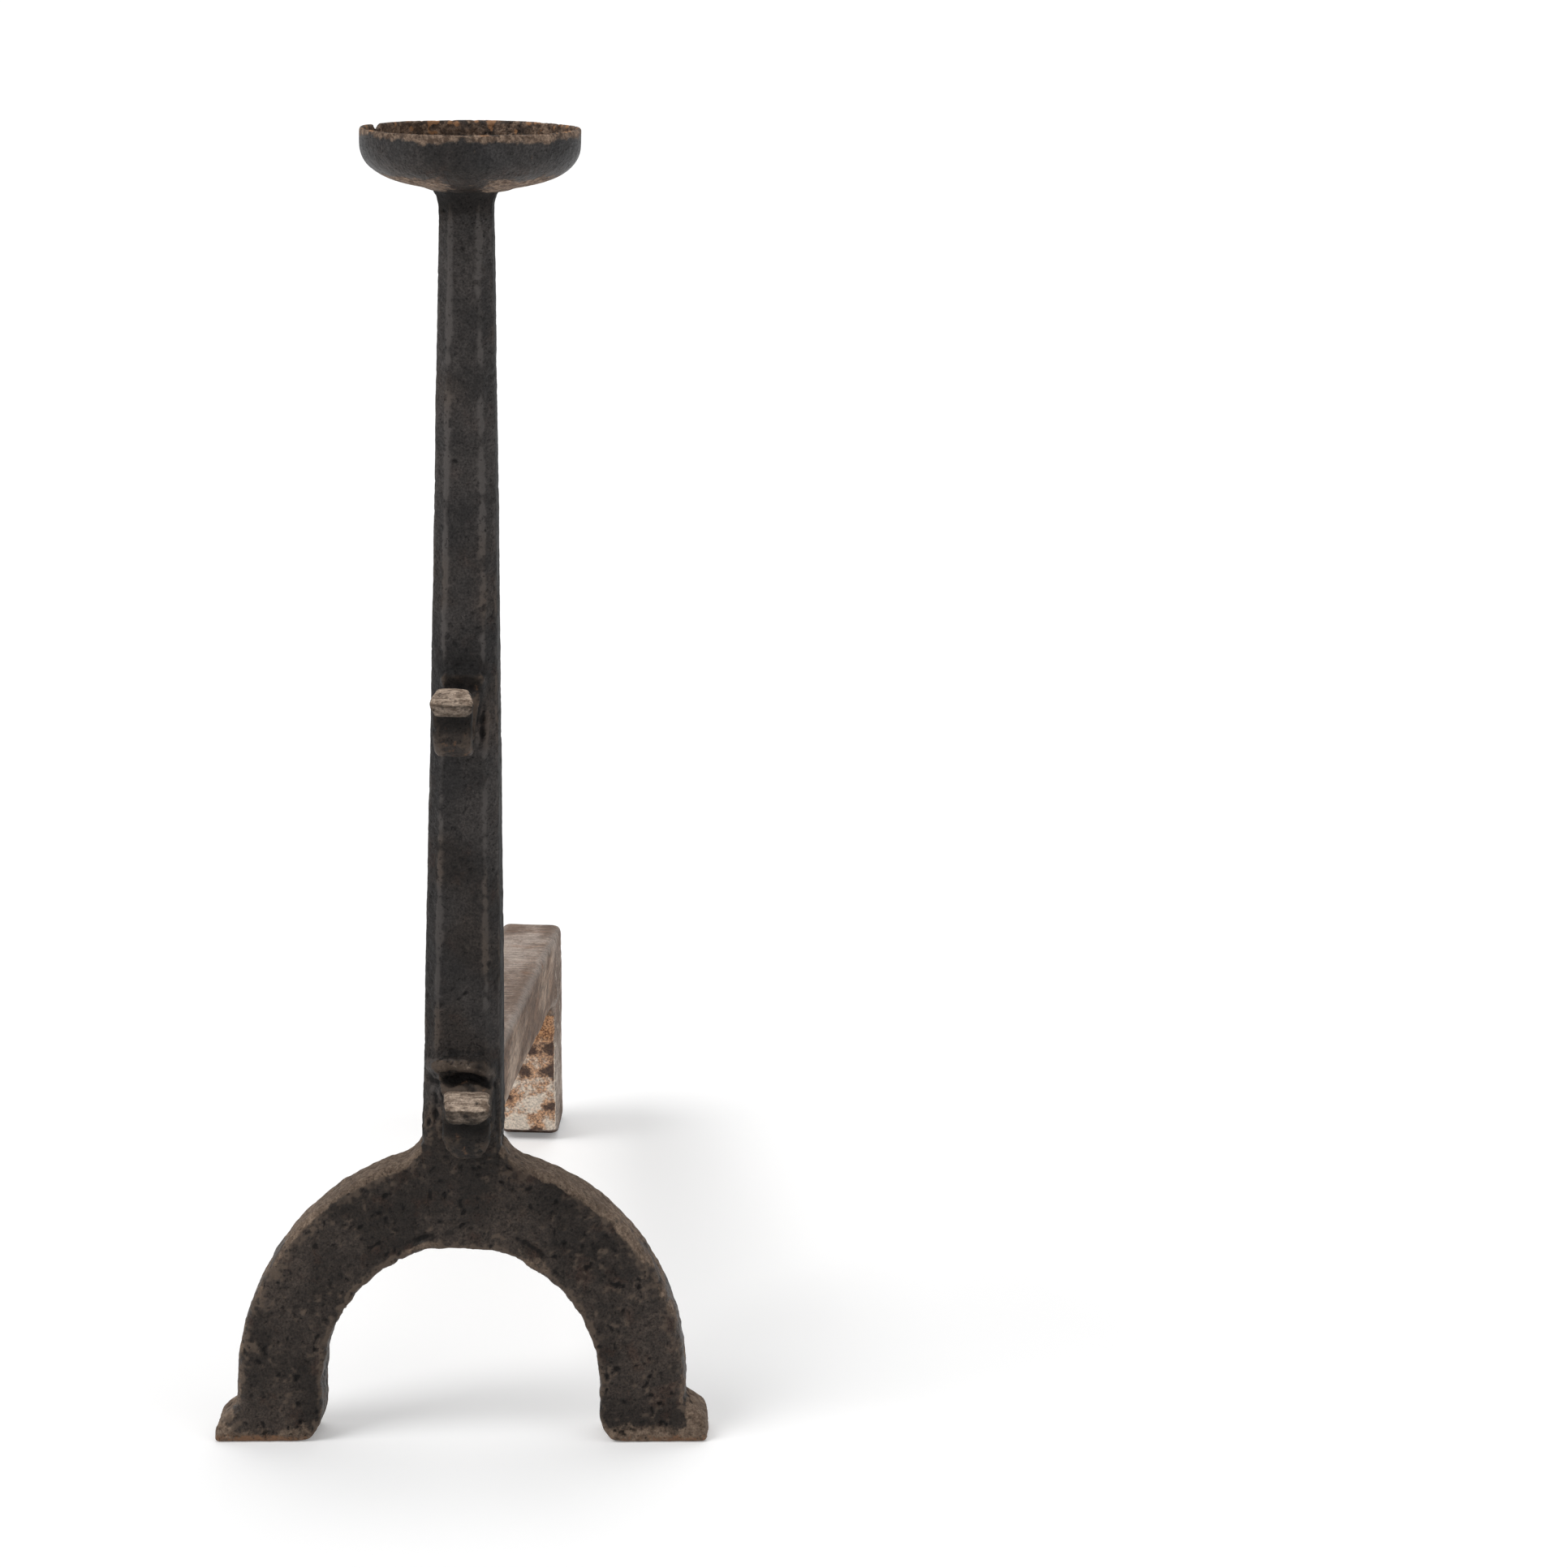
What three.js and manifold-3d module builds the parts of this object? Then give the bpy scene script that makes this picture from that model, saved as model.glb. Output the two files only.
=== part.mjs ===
// A forged-iron spit andiron with a cresset cup, made the way a smith joins it: a tapering standard,
// two curved legs scarfed to its foot, a billet bar tenoned into its back and turned down as the
// rear leg, two spit hooks on its front face, and a raised cup held by a peened tenon.
// Units are millimetres. +Z is up, +X is to the right seen from the room, and -Y faces the room.
// Inside the assembly group the standard's front face is the plane y = 0.

import * as THREE from 'three';
import Module from 'manifold-3d';
import { mergeVertices } from 'three/addons/utils/BufferGeometryUtils.js';

const wasm = await Module();
wasm.setup();

// ---------------------------------------------------------------- driving dimensions
const overallHeight = 695;
const fitGap = 0.3; // air left between pieces that touch

// standard: a chamfered bar that tapers from the shoulder up to the neck
const shoulderWidth = 42;
const shoulderDepth = 40;
const neckWidth = 27;
const neckDepth = 28;
const shoulderChamfer = 7;
const neckChamfer = 6;
const chamferStop = 34; // height over which the chamfers run out at the shoulder
const crownChamfer = 0.8;
const scarfWidth = 27; // width left between the legs under the crown
const neckFlare = 6; // radius of the swelling under the cup
const neckBow = 2; // how far the bar has drifted to the right by its neck
const tenonRadius = 7;
const tenonHeadRadius = 11;
const tenonHeadHeight = 4.5;

// cup
const cupRadius = 55.7;
const cupShift = 1.8; // the cup sits this far right of the neck's middle
const cupDepth = 30;
const cupBowlHeight = 22.8; // height of the rounded part, below the straight wall
const cupFullness = 2.45; // exponent of the bowl's superellipse
const cupWall = 2.6;
const cupFloor = 4;
const cupPadRadius = 20; // flat pad over the neck
const nickWidth = 8;
const nickDepth = 3;
const nickAngle = THREE.MathUtils.degToRad(149);

// legs: two quarter arches between an inner and an outer ellipse
const legThickness = 30;
const archHalfWidth = 118.8;
const archOuterHeight = 158.5;
const archInnerHalfWidth = 73.6;
const archInnerHeight = 109;
const springHeight = 32;
const outerRound = 6.5;
const innerBreak = 1.5;
const shoulderFillet = 17;
const legTwist = 8; // how far the arch has turned at its feet, the left one towards the room
const heelRun = 11;
const heelRise = 17;
const soleBreak = 1.2;
const toeEdge = 2.2; // rounding of the toes' front and back edges
const toeSlant = 1.4; // how far a toe's end leans in
const leftToe = { reach: 12.6, rise: 19, tip: 8 };
const rightToe = { reach: 12.4, rise: 22, tip: 12 };

// billet bar and rear leg
const barWidth = 34;
const barRearWidth = 38.5;
const barTopAtStandard = 204.5;
const barDepthAtStandard = 38;
const barTopSlope = 0.131;
const barBottomSlope = 0.147;
const rearCornerReach = 543; // from the standard's front face to the top rear corner
const rearFootReach = 565; // to the back of the rear foot
const rearLegTopThickness = 59;
const rearLegFootThickness = 53;
const rearOuterRadius = 7;
const rearInnerRadius = 14;
const barEdge = 4;
const barTenonWidth = 16;
const barTenonHeight = 24;
const barTenonLength = 24;

// spit hooks: flat bars bent to a U, with a lip rolled outward
const hookThickness = 8.5;
const hookBendRadius = 12;
const hookCurlRadius = 7;
const hookCurlTurn = THREE.MathUtils.degToRad(115);
const hookCorner = 2.6;
const hookRidgeThickness = 5.4;
const weldSink = 0.6; // depth of the hooks' weld face before it is trimmed to the standard
const upperHook = {
  bottom: 379,
  weldHeight: 42, // top of the weld ridge, above the hook's lowest point
  limbHeight: 27.3, // where the front limb starts to curl, above the same point
  lipRun: 9.8,
  offset: -1.5,
  ridgeOffset: 1.5,
  ridgeWidth: 26,
  limbWidth: 20.5,
  bendWidth: 19.5,
  tipWidth: 21.6,
  endWidth: 19.5,
  tipThickness: 9.2,
};
const lowerHook = {
  bottom: 165,
  weldHeight: 50,
  limbHeight: 28.8,
  lipRun: 10.4,
  offset: 5.6,
  ridgeOffset: -0.3,
  ridgeWidth: 39,
  limbWidth: 24.6,
  bendWidth: 13.5,
  tipWidth: 20.5,
  endWidth: 16.6,
  tipThickness: 11.6,
};

// ---------------------------------------------------------------- shared values
const cupPadHeight = overallHeight - cupDepth;
const seatHeight = cupPadHeight - fitGap;
const flareTurn = THREE.MathUtils.degToRad(75);
const neckHeight = seatHeight - neckFlare * Math.sin(flareTurn);
const neckCentre = neckDepth / 2;
const archOuterRise = archOuterHeight - springHeight;
const archInnerRise = archInnerHeight - springHeight;
const scarfHalf = scarfWidth / 2;
const crownHeight = springHeight + archInnerRise * Math.sqrt(1 - (scarfHalf / archInnerHalfWidth) ** 2);

// Where the concave shoulder leaves the outer ellipse so that it ends upright on the standard.
function shoulderStart() {
  const side = shoulderWidth / 2 + fitGap;
  let angle = Math.PI / 2.4;
  for (let step = 0; step < 60; step += 1) {
    const normal = outerNormal(angle);
    angle = Math.acos((side + shoulderFillet * (1 - normal.x)) / archHalfWidth);
  }
  return angle;
}

function outerPoint(angle) {
  return new THREE.Vector2(
    archHalfWidth * Math.cos(angle),
    springHeight + archOuterRise * Math.sin(angle),
  );
}

function innerPoint(angle) {
  return new THREE.Vector2(
    archInnerHalfWidth * Math.cos(angle),
    springHeight + archInnerRise * Math.sin(angle),
  );
}

function outerNormal(angle) {
  return new THREE.Vector2(
    archOuterRise * Math.cos(angle),
    archHalfWidth * Math.sin(angle),
  ).normalize();
}

const shoulderAngle = shoulderStart();
const shoulderNormal = outerNormal(shoulderAngle);
const shoulderCentre = outerPoint(shoulderAngle).addScaledVector(shoulderNormal, shoulderFillet);
const shoulderHeight = shoulderCentre.y;

function taper(height, low, high) {
  return low + ((high - low) * (height - shoulderHeight)) / (neckHeight - shoulderHeight);
}

function standardBack(height) {
  return taper(height, shoulderDepth, neckDepth);
}

// The bar leaves the middle quickly at its foot and runs nearly straight above.
function bow(height) {
  const share = (height - shoulderHeight) / (neckHeight - shoulderHeight);
  return neckBow * (1 - (1 - THREE.MathUtils.clamp(share, 0, 1)) ** 2);
}

const cupCentre = bow(neckHeight) + cupShift;

// ---------------------------------------------------------------- mesh helpers
// Keeps only merged positions, drops the flat triangles at poles and turns the faces outward.
function closedGeometry(geometry) {
  const bare = new THREE.BufferGeometry();
  bare.setAttribute('position', geometry.getAttribute('position'));
  if (geometry.index) bare.setIndex(geometry.index);
  const merged = mergeVertices(bare, 1e-4);
  const corners = merged.index.array;
  const kept = [];
  for (let i = 0; i < corners.length; i += 3) {
    const [a, b, c] = [corners[i], corners[i + 1], corners[i + 2]];
    if (a !== b && b !== c && c !== a) kept.push(a, b, c);
  }
  if (signedVolume(merged.getAttribute('position'), kept) < 0) kept.reverse();
  merged.setIndex(kept);
  merged.computeVertexNormals();
  return merged;
}

function signedVolume(position, corners) {
  const [a, b, c] = [new THREE.Vector3(), new THREE.Vector3(), new THREE.Vector3()];
  let volume = 0;
  for (let i = 0; i < corners.length; i += 3) {
    a.fromBufferAttribute(position, corners[i]);
    b.fromBufferAttribute(position, corners[i + 1]);
    c.fromBufferAttribute(position, corners[i + 2]);
    volume += a.dot(b.cross(c)) / 6;
  }
  return volume;
}

function toSolid(geometry) {
  const closed = closedGeometry(geometry);
  return new wasm.Manifold(
    new wasm.Mesh({
      numProp: 3,
      vertProperties: new Float32Array(closed.getAttribute('position').array),
      triVerts: new Uint32Array(closed.index.array),
    }),
  );
}

function toGeometry(solid) {
  const mesh = solid.getMesh();
  const geometry = new THREE.BufferGeometry();
  geometry.setAttribute('position', new THREE.BufferAttribute(mesh.vertProperties, 3));
  geometry.setIndex(new THREE.BufferAttribute(mesh.triVerts, 1));
  return closedGeometry(geometry);
}

// Skins a row of convex rings with equal point counts and closes both ends.
function loft(rings) {
  const count = rings[0].length;
  const geometry = new THREE.BufferGeometry().setFromPoints(rings.flat());
  const corners = [];
  for (let ring = 0; ring < rings.length - 1; ring += 1) {
    for (let i = 0; i < count; i += 1) {
      const next = (i + 1) % count;
      const [a, b] = [ring * count + i, ring * count + next];
      corners.push(a, b, b + count, a, b + count, a + count);
    }
  }
  const last = (rings.length - 1) * count;
  for (let i = 1; i < count - 1; i += 1) {
    corners.push(0, i + 1, i, last, last + i, last + i + 1);
  }
  geometry.setIndex(corners);
  return closedGeometry(geometry);
}

// A turned solid: the profile's points are (radius, height).
function turned(profile, segments) {
  return new THREE.LatheGeometry(profile, segments).rotateX(Math.PI / 2);
}

// ---------------------------------------------------------------- standard
function chamferedSection(width, depth, chamfer, centreY, height) {
  const [w, d, c] = [width / 2, depth / 2, chamfer];
  const outline = [
    [w - c, -d], [w, c - d], [w, d - c], [w - c, d],
    [c - w, d], [-w, d - c], [-w, c - d], [c - w, -d],
  ];
  return outline.map(([x, y]) => new THREE.Vector3(bow(height) + x, centreY + y, height));
}

// With a clearance, the space that a piece lying on the standard must leave free.
function standardSections(clearance = 0) {
  const stopTop = shoulderHeight + chamferStop / 2;
  const stopBottom = shoulderHeight - chamferStop / 2;
  const stopShare = (stopBottom - crownHeight) / (shoulderHeight - crownHeight);
  const stopWidth = scarfWidth + (shoulderWidth - scarfWidth) * stopShare;
  const depthAt = (height) => Math.min(shoulderDepth, standardBack(height));
  const section = (height, width, chamfer) => chamferedSection(
    width + 2 * clearance,
    depthAt(height) + 2 * clearance,
    chamfer + (2 - Math.SQRT2) * clearance,
    depthAt(height) / 2,
    height,
  );
  const sections = [
    section(crownHeight, scarfWidth, crownChamfer),
    section(stopBottom, stopWidth, crownChamfer),
    section(shoulderHeight, shoulderWidth, (crownChamfer + shoulderChamfer) / 2),
  ];
  const shaftSteps = 6;
  for (let step = 0; step <= shaftSteps; step += 1) {
    const height = THREE.MathUtils.lerp(stopTop, neckHeight, step / shaftSteps);
    sections.push(section(height, taper(height, shoulderWidth, neckWidth), chamferAt(height)));
  }
  const roundShare = 1 - Math.SQRT1_2;
  const flareSteps = 5;
  for (let step = 1; step <= flareSteps; step += 1) {
    const turn = (flareTurn * step) / flareSteps;
    const spread = 2 * neckFlare * (1 - Math.cos(turn));
    const [width, depth] = [neckWidth + spread, neckDepth + spread];
    const chamfer = THREE.MathUtils.lerp(neckChamfer, Math.min(width, depth) * roundShare, step / flareSteps);
    const height = neckHeight + neckFlare * Math.sin(turn);
    sections.push(chamferedSection(width, depth, chamfer, neckCentre, height));
  }
  return sections;
}

function chamferAt(height) {
  return taper(height, shoulderChamfer, neckChamfer);
}

// The tenon passes through the cup's floor and is peened to a low dome above it.
function cupTenon() {
  const underHead = cupPadHeight + cupFloor + fitGap;
  const profile = [
    new THREE.Vector2(0, neckHeight),
    new THREE.Vector2(tenonRadius, neckHeight),
    new THREE.Vector2(tenonRadius, underHead),
    new THREE.Vector2(tenonHeadRadius, underHead),
  ];
  const domeSteps = 6;
  for (let step = 1; step <= domeSteps; step += 1) {
    const angle = (Math.PI / 2) * (step / domeSteps);
    const radius = step === domeSteps ? 0 : tenonHeadRadius * Math.cos(angle);
    profile.push(new THREE.Vector2(radius, underHead + tenonHeadHeight * Math.sin(angle)));
  }
  return turned(profile, 32).translate(cupCentre, neckCentre, 0);
}

// The bar's tenon, or with a clearance the mortise that takes it.
function barTenon(clearance) {
  const back = standardBack(barTopAtStandard);
  const length = barTenonLength + clearance + barDepthAtStandard / 2;
  const height = barTopAtStandard - barDepthAtStandard / 2;
  return new THREE.BoxGeometry(
    barTenonWidth + 2 * clearance,
    length,
    barTenonHeight + 2 * clearance,
  ).translate(0, back - barTenonLength - clearance + length / 2, height);
}

function standardGeometry() {
  return toGeometry(
    toSolid(loft(standardSections()))
      .add(toSolid(cupTenon()))
      .subtract(toSolid(barTenon(fitGap))),
  );
}

// ---------------------------------------------------------------- cup
function bowlProfile(radius, floorHeight) {
  const share = (r) => (1 - (r / radius) ** cupFullness) ** (1 / cupFullness);
  const rise = cupBowlHeight - floorHeight;
  const steps = 16;
  const points = [];
  const lastAngle = Math.acos((cupPadRadius / radius) ** (cupFullness / 2));
  for (let step = 0; step <= steps; step += 1) {
    const angle = (lastAngle * step) / steps;
    const r = radius * Math.cos(angle) ** (2 / cupFullness);
    points.push(new THREE.Vector2(r, cupBowlHeight - (rise * share(r)) / share(cupPadRadius)));
  }
  return points;
}

function cupGeometry() {
  const holeRadius = tenonRadius + fitGap;
  const outside = bowlProfile(cupRadius, 0).reverse();
  const inside = bowlProfile(cupRadius - cupWall, cupFloor);
  const rim = [];
  const rimSteps = 4;
  for (let step = 0; step <= rimSteps; step += 1) {
    const angle = (Math.PI * step) / rimSteps;
    rim.push(new THREE.Vector2(
      cupRadius - (cupWall / 2) * (1 - Math.cos(angle)),
      cupDepth - (cupWall / 2) * (1 - Math.sin(angle)),
    ));
  }
  const profile = [
    new THREE.Vector2(holeRadius, 0),
    ...outside,
    ...rim,
    ...inside,
    new THREE.Vector2(holeRadius, cupFloor),
    new THREE.Vector2(holeRadius, 0),
  ];
  const bowl = toSolid(turned(profile, 72));
  const nickRadius = (nickWidth ** 2 / 4 + nickDepth ** 2) / (2 * nickDepth);
  const nick = new THREE.CylinderGeometry(nickRadius, nickRadius, cupWall * 6, 24)
    .rotateZ(Math.PI / 2)
    .translate(cupRadius, 0, cupDepth + nickRadius - nickDepth)
    .rotateZ(nickAngle);
  return toGeometry(bowl.subtract(toSolid(nick))).translate(cupCentre, neckCentre, cupPadHeight);
}

// ---------------------------------------------------------------- legs
// One section from the inner to the outer guide point, with rounded outer and broken inner edges.
function legSection(inner, outer, side, edge, round = outerRound) {
  const along = outer.clone().sub(inner);
  const reach = along.length();
  along.normalize();
  const outline = [
    [edge + innerBreak, edge],
    [reach - round, edge],
  ];
  const roundSteps = 4;
  for (let step = 1; step <= roundSteps; step += 1) {
    const angle = (Math.PI / 2) * (step / roundSteps);
    outline.push([
      reach - round * (1 - Math.sin(angle)),
      edge + round * (1 - Math.cos(angle)),
    ]);
  }
  const mirrored = outline.map(([s, y]) => [s, legThickness - y]).reverse();
  outline.push(...mirrored);
  outline.push([edge, legThickness - edge - innerBreak], [edge, edge + innerBreak]);
  return outline.map(([s, y]) => {
    const x = inner.x + along.x * s;
    return new THREE.Vector3(side * x, y + side * twist(x), inner.y + along.y * s);
  });
}

// The arch is turned a little about the standard, more with the distance from it.
function twist(x) {
  const flush = shoulderWidth / 2;
  return (legTwist * Math.max(0, x - flush)) / (archHalfWidth - flush);
}

// How far the toe stands out at one height: a steep end, then a slope up to the leg.
function toeOut(toe, height) {
  if (height <= toe.tip) return toe.reach - (toeSlant * height) / toe.tip;
  const share = Math.min(1, (height - toe.tip) / (toe.rise - toe.tip));
  return (toe.reach - toeSlant) * (1 - share ** 1.3);
}

function footSections(side) {
  const toe = side < 0 ? leftToe : rightToe;
  const slopeSteps = 5;
  const levels = [0, soleBreak, toe.tip / 2];
  for (let step = 0; step <= slopeSteps; step += 1) {
    levels.push(THREE.MathUtils.lerp(toe.tip, toe.rise, step / slopeSteps));
  }
  levels.push((toe.rise + springHeight) / 2);
  return levels.map((height) => {
    const heelShare = Math.max(0, 1 - height / heelRise);
    const inner = archInnerHalfWidth + heelRun * (1 - Math.sqrt(1 - heelShare ** 2));
    const outer = archHalfWidth + toeOut(toe, height);
    const edge = height === 0 ? soleBreak : 0;
    const round = THREE.MathUtils.lerp(toeEdge, outerRound, Math.min(1, height / toe.rise) ** 2);
    return legSection(
      new THREE.Vector2(inner, height),
      new THREE.Vector2(outer - edge, height),
      side,
      edge,
      round,
    );
  });
}

function archSections(side) {
  const sections = [];
  const scarfAngle = Math.acos((scarfHalf + fitGap) / archInnerHalfWidth);
  const archSteps = 18;
  const filletSteps = 6;
  const archShare = 0.84; // part of the inner curve that faces the outer ellipse
  for (let step = 0; step <= archSteps; step += 1) {
    const share = step / archSteps;
    sections.push(legSection(
      innerPoint(scarfAngle * archShare * share),
      outerPoint(shoulderAngle * share),
      side,
      0,
    ));
  }
  const startTurn = Math.atan2(-shoulderNormal.y, -shoulderNormal.x);
  for (let step = 1; step <= filletSteps; step += 1) {
    const share = step / filletSteps;
    const turn = THREE.MathUtils.lerp(startTurn, -Math.PI, share);
    const outer = new THREE.Vector2(Math.cos(turn), Math.sin(turn))
      .multiplyScalar(shoulderFillet)
      .add(shoulderCentre);
    sections.push(legSection(
      innerPoint(scarfAngle * THREE.MathUtils.lerp(archShare, 1, share)),
      outer,
      side,
      0,
    ));
  }
  return sections;
}

function legGeometry(side) {
  return loft([...footSections(side), ...archSections(side)]);
}

// ---------------------------------------------------------------- billet bar
// Fillets one corner of the bar's side outline.
function roundCorner(path, before, corner, after, radius) {
  const toBefore = before.clone().sub(corner).normalize();
  const toAfter = after.clone().sub(corner).normalize();
  const half = toBefore.angleTo(toAfter) / 2;
  const run = radius / Math.tan(half);
  const start = corner.clone().addScaledVector(toBefore, run);
  const end = corner.clone().addScaledVector(toAfter, run);
  path.lineTo(start.x, start.y);
  path.quadraticCurveTo(corner.x, corner.y, end.x, end.y);
}

function billetBarOutline() {
  const front = standardBack(barTopAtStandard) + fitGap;
  const barBottomAtStandard = barTopAtStandard - barDepthAtStandard;
  const frontLow = standardBack(barBottomAtStandard) + fitGap;
  const topAt = (y) => barTopAtStandard - barTopSlope * (y - front);
  const bottomAt = (y) => barBottomAtStandard - barBottomSlope * (y - front);
  const innerReach = rearCornerReach - rearLegTopThickness;
  const footFront = rearFootReach - rearLegFootThickness;
  const outer = new THREE.Vector2(rearCornerReach, topAt(rearCornerReach));
  const inner = new THREE.Vector2(innerReach, bottomAt(innerReach));
  const heel = new THREE.Vector2(rearFootReach, 0);
  const toe = new THREE.Vector2(footFront, 0);
  const frontTop = new THREE.Vector2(front, topAt(front));
  const frontBottom = new THREE.Vector2(frontLow, bottomAt(frontLow));
  const outline = new THREE.Shape();
  outline.moveTo(frontTop.x, frontTop.y);
  outline.lineTo(frontBottom.x, frontBottom.y);
  roundCorner(outline, frontBottom, inner, toe, rearInnerRadius);
  outline.lineTo(toe.x, toe.y);
  outline.lineTo(heel.x, heel.y);
  roundCorner(outline, heel, outer, frontTop, rearOuterRadius);
  return outline;
}

function billetBarGeometry() {
  const body = new THREE.ExtrudeGeometry(billetBarOutline(), {
    depth: barWidth - 2 * barEdge,
    curveSegments: 8,
    bevelThickness: barEdge,
    bevelSize: barEdge,
    bevelOffset: -barEdge,
    bevelSegments: 3,
  });
  body.translate(0, 0, barEdge - barWidth / 2);
  body.applyMatrix4(new THREE.Matrix4().makeBasis(
    new THREE.Vector3(0, 1, 0),
    new THREE.Vector3(0, 0, 1),
    new THREE.Vector3(1, 0, 0),
  ));
  const position = body.getAttribute('position');
  for (let i = 0; i < position.count; i += 1) {
    const share = position.getY(i) / rearFootReach;
    position.setX(i, position.getX(i) * (1 + (barRearWidth / barWidth - 1) * share));
  }
  return toGeometry(toSolid(body).add(toSolid(barTenon(0))));
}

// ---------------------------------------------------------------- spit hooks
// How far a point beside the standard's front flat lies behind it, on the chamfer.
function chamferFall(x, height) {
  const flatHalf = taper(height, shoulderWidth, neckWidth) / 2 - chamferAt(height);
  return Math.max(0, Math.abs(x - bow(height)) - flatHalf);
}

// A rounded-rectangle section across the bar at one point of its side path. Where the bar is
// welded to the standard and is wider than its front flat, it follows the chamfers.
function hookSection(station) {
  const { reach, height, turn, width, thickness, offset } = station;
  const corner = Math.min(hookCorner, thickness * 0.45);
  const [w, t] = [width / 2 - corner, thickness / 2 - corner];
  const outline = [];
  const cornerSteps = 2;
  const edgeShares = [0.75, 0.25, -0.25, -0.75];
  for (const [sx, sy, from] of [[1, 1, 0], [-1, 1, 1], [-1, -1, 2], [1, -1, 3]]) {
    for (let step = 0; step <= cornerSteps; step += 1) {
      const angle = (Math.PI / 2) * (from + step / cornerSteps);
      outline.push([sx * w + corner * Math.cos(angle), sy * t + corner * Math.sin(angle)]);
    }
    if (from % 2 === 0) {
      for (const share of edgeShares) outline.push([sx * w * share, sy * (t + corner)]);
    }
  }
  return outline.map(([x, across]) => {
    const fall = turn === 0 ? chamferFall(offset + x, height) : 0;
    return new THREE.Vector3(
      offset + x,
      fall - (reach + across * Math.cos(turn)),
      height + across * Math.sin(turn),
    );
  });
}

// Stations along the bar: weld ridge, back limb, U bend, front limb, rolled lip.
// turn is 0 where the bar runs straight down the standard.
function hookStations(hook) {
  const { bottom, weldHeight, limbHeight, lipRun, offset, ridgeOffset } = hook;
  const { ridgeWidth, limbWidth, bendWidth, tipWidth, endWidth, tipThickness } = hook;
  const stations = [];
  const bendHeight = hookThickness / 2 + hookBendRadius;
  const valley = (ridgeWidth + limbWidth) / 2;
  // drop below the weld's top, thickness, width, share of the ridge's own offset
  const backLimb = [
    [0, 1.2, ridgeWidth * 0.34, 1],
    [0.7, 2.4, ridgeWidth * 0.62, 1],
    [2, hookRidgeThickness - 0.9, ridgeWidth * 0.85, 1],
    [4, hookRidgeThickness, ridgeWidth, 1],
    [6.5, hookRidgeThickness - 0.8, ridgeWidth, 1],
    [9.5, hookRidgeThickness - 2, ridgeWidth * 0.9, 0.8],
    [13, hookRidgeThickness - 1, valley, 0.5],
    [18, hookThickness - 1.5, limbWidth + 1, 0.2],
  ];
  for (const [drop, thickness, width, ridgeShare] of backLimb) {
    stations.push({
      reach: thickness / 2 - weldSink,
      height: bottom + weldHeight - drop,
      turn: 0,
      width,
      thickness,
      offset: THREE.MathUtils.lerp(offset, ridgeOffset, ridgeShare),
    });
  }
  const bendCentre = fitGap + hookThickness / 2 + hookBendRadius;
  const bendSteps = 12;
  for (let step = 0; step <= bendSteps; step += 1) {
    const turn = (Math.PI * step) / bendSteps;
    stations.push({
      reach: bendCentre - hookBendRadius * Math.cos(turn),
      height: bottom + bendHeight - hookBendRadius * Math.sin(turn),
      turn,
      width: THREE.MathUtils.lerp(limbWidth, bendWidth, Math.sin(turn) ** 2),
      thickness: hookThickness,
      offset,
    });
  }
  const frontReach = bendCentre + hookBendRadius;
  const curlSteps = 9;
  for (let step = 0; step <= curlSteps; step += 1) {
    const share = step / curlSteps;
    const curl = hookCurlTurn * share;
    stations.push({
      reach: frontReach + hookCurlRadius * (1 - Math.cos(curl)),
      height: bottom + limbHeight + hookCurlRadius * Math.sin(curl),
      turn: Math.PI - curl,
      width: THREE.MathUtils.lerp(limbWidth, tipWidth, share),
      thickness: THREE.MathUtils.lerp(hookThickness, tipThickness, share),
      offset,
    });
  }
  const curlEnd = stations.at(-1);
  // share of the lip's run, width, thickness
  const lip = [
    [0.5, THREE.MathUtils.lerp(tipWidth, endWidth, 0.3), tipThickness],
    [0.85, THREE.MathUtils.lerp(tipWidth, endWidth, 0.8), tipThickness - 0.3],
    [0.95, endWidth, tipThickness - 1.4],
    [1, endWidth - 2.4, tipThickness - 3.4],
  ];
  for (const [share, width, thickness] of lip) {
    stations.push({
      ...curlEnd,
      reach: curlEnd.reach + lipRun * share * Math.sin(hookCurlTurn),
      height: curlEnd.height + lipRun * share * Math.cos(hookCurlTurn),
      width,
      thickness,
    });
  }
  return stations;
}

function hookGeometry(hook) {
  const bar = toSolid(loft(hookStations(hook).map(hookSection)));
  return toGeometry(bar.subtract(toSolid(loft(standardSections(fitGap)))));
}

// ---------------------------------------------------------------- assembly
function iron(color, roughness, metalness) {
  return new THREE.MeshStandardMaterial({ color, roughness, metalness });
}

const blackIron = iron(0x343231, 0.62, 0.45);
const wornIron = iron(0x4a433d, 0.66, 0.4);
const scaledIron = iron(0x85796e, 0.85, 0.15);
const rustyIron = iron(0x3d3530, 0.7, 0.4);

function piece(name, geometry, material) {
  const mesh = new THREE.Mesh(geometry, material);
  mesh.name = name;
  return mesh;
}

const assembly = new THREE.Group();
assembly.add(
  piece('standard', standardGeometry(), blackIron),
  piece('cup', cupGeometry(), rustyIron),
  piece('left_leg', legGeometry(-1), blackIron),
  piece('right_leg', legGeometry(1), blackIron),
  piece('billet_bar', billetBarGeometry(), scaledIron),
  piece('upper_hook', hookGeometry(upperHook), wornIron),
  piece('lower_hook', hookGeometry(lowerHook), wornIron),
);

// The origin lies on the floor under the middle of the andiron's length and width.
const extent = new THREE.Box3().setFromObject(assembly);
assembly.position.x = -(extent.min.x + extent.max.x) / 2;
assembly.position.y = -(extent.min.y + extent.max.y) / 2;

const andiron = new THREE.Group();
andiron.add(assembly);
andiron.updateMatrixWorld(true);

export default andiron;
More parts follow.
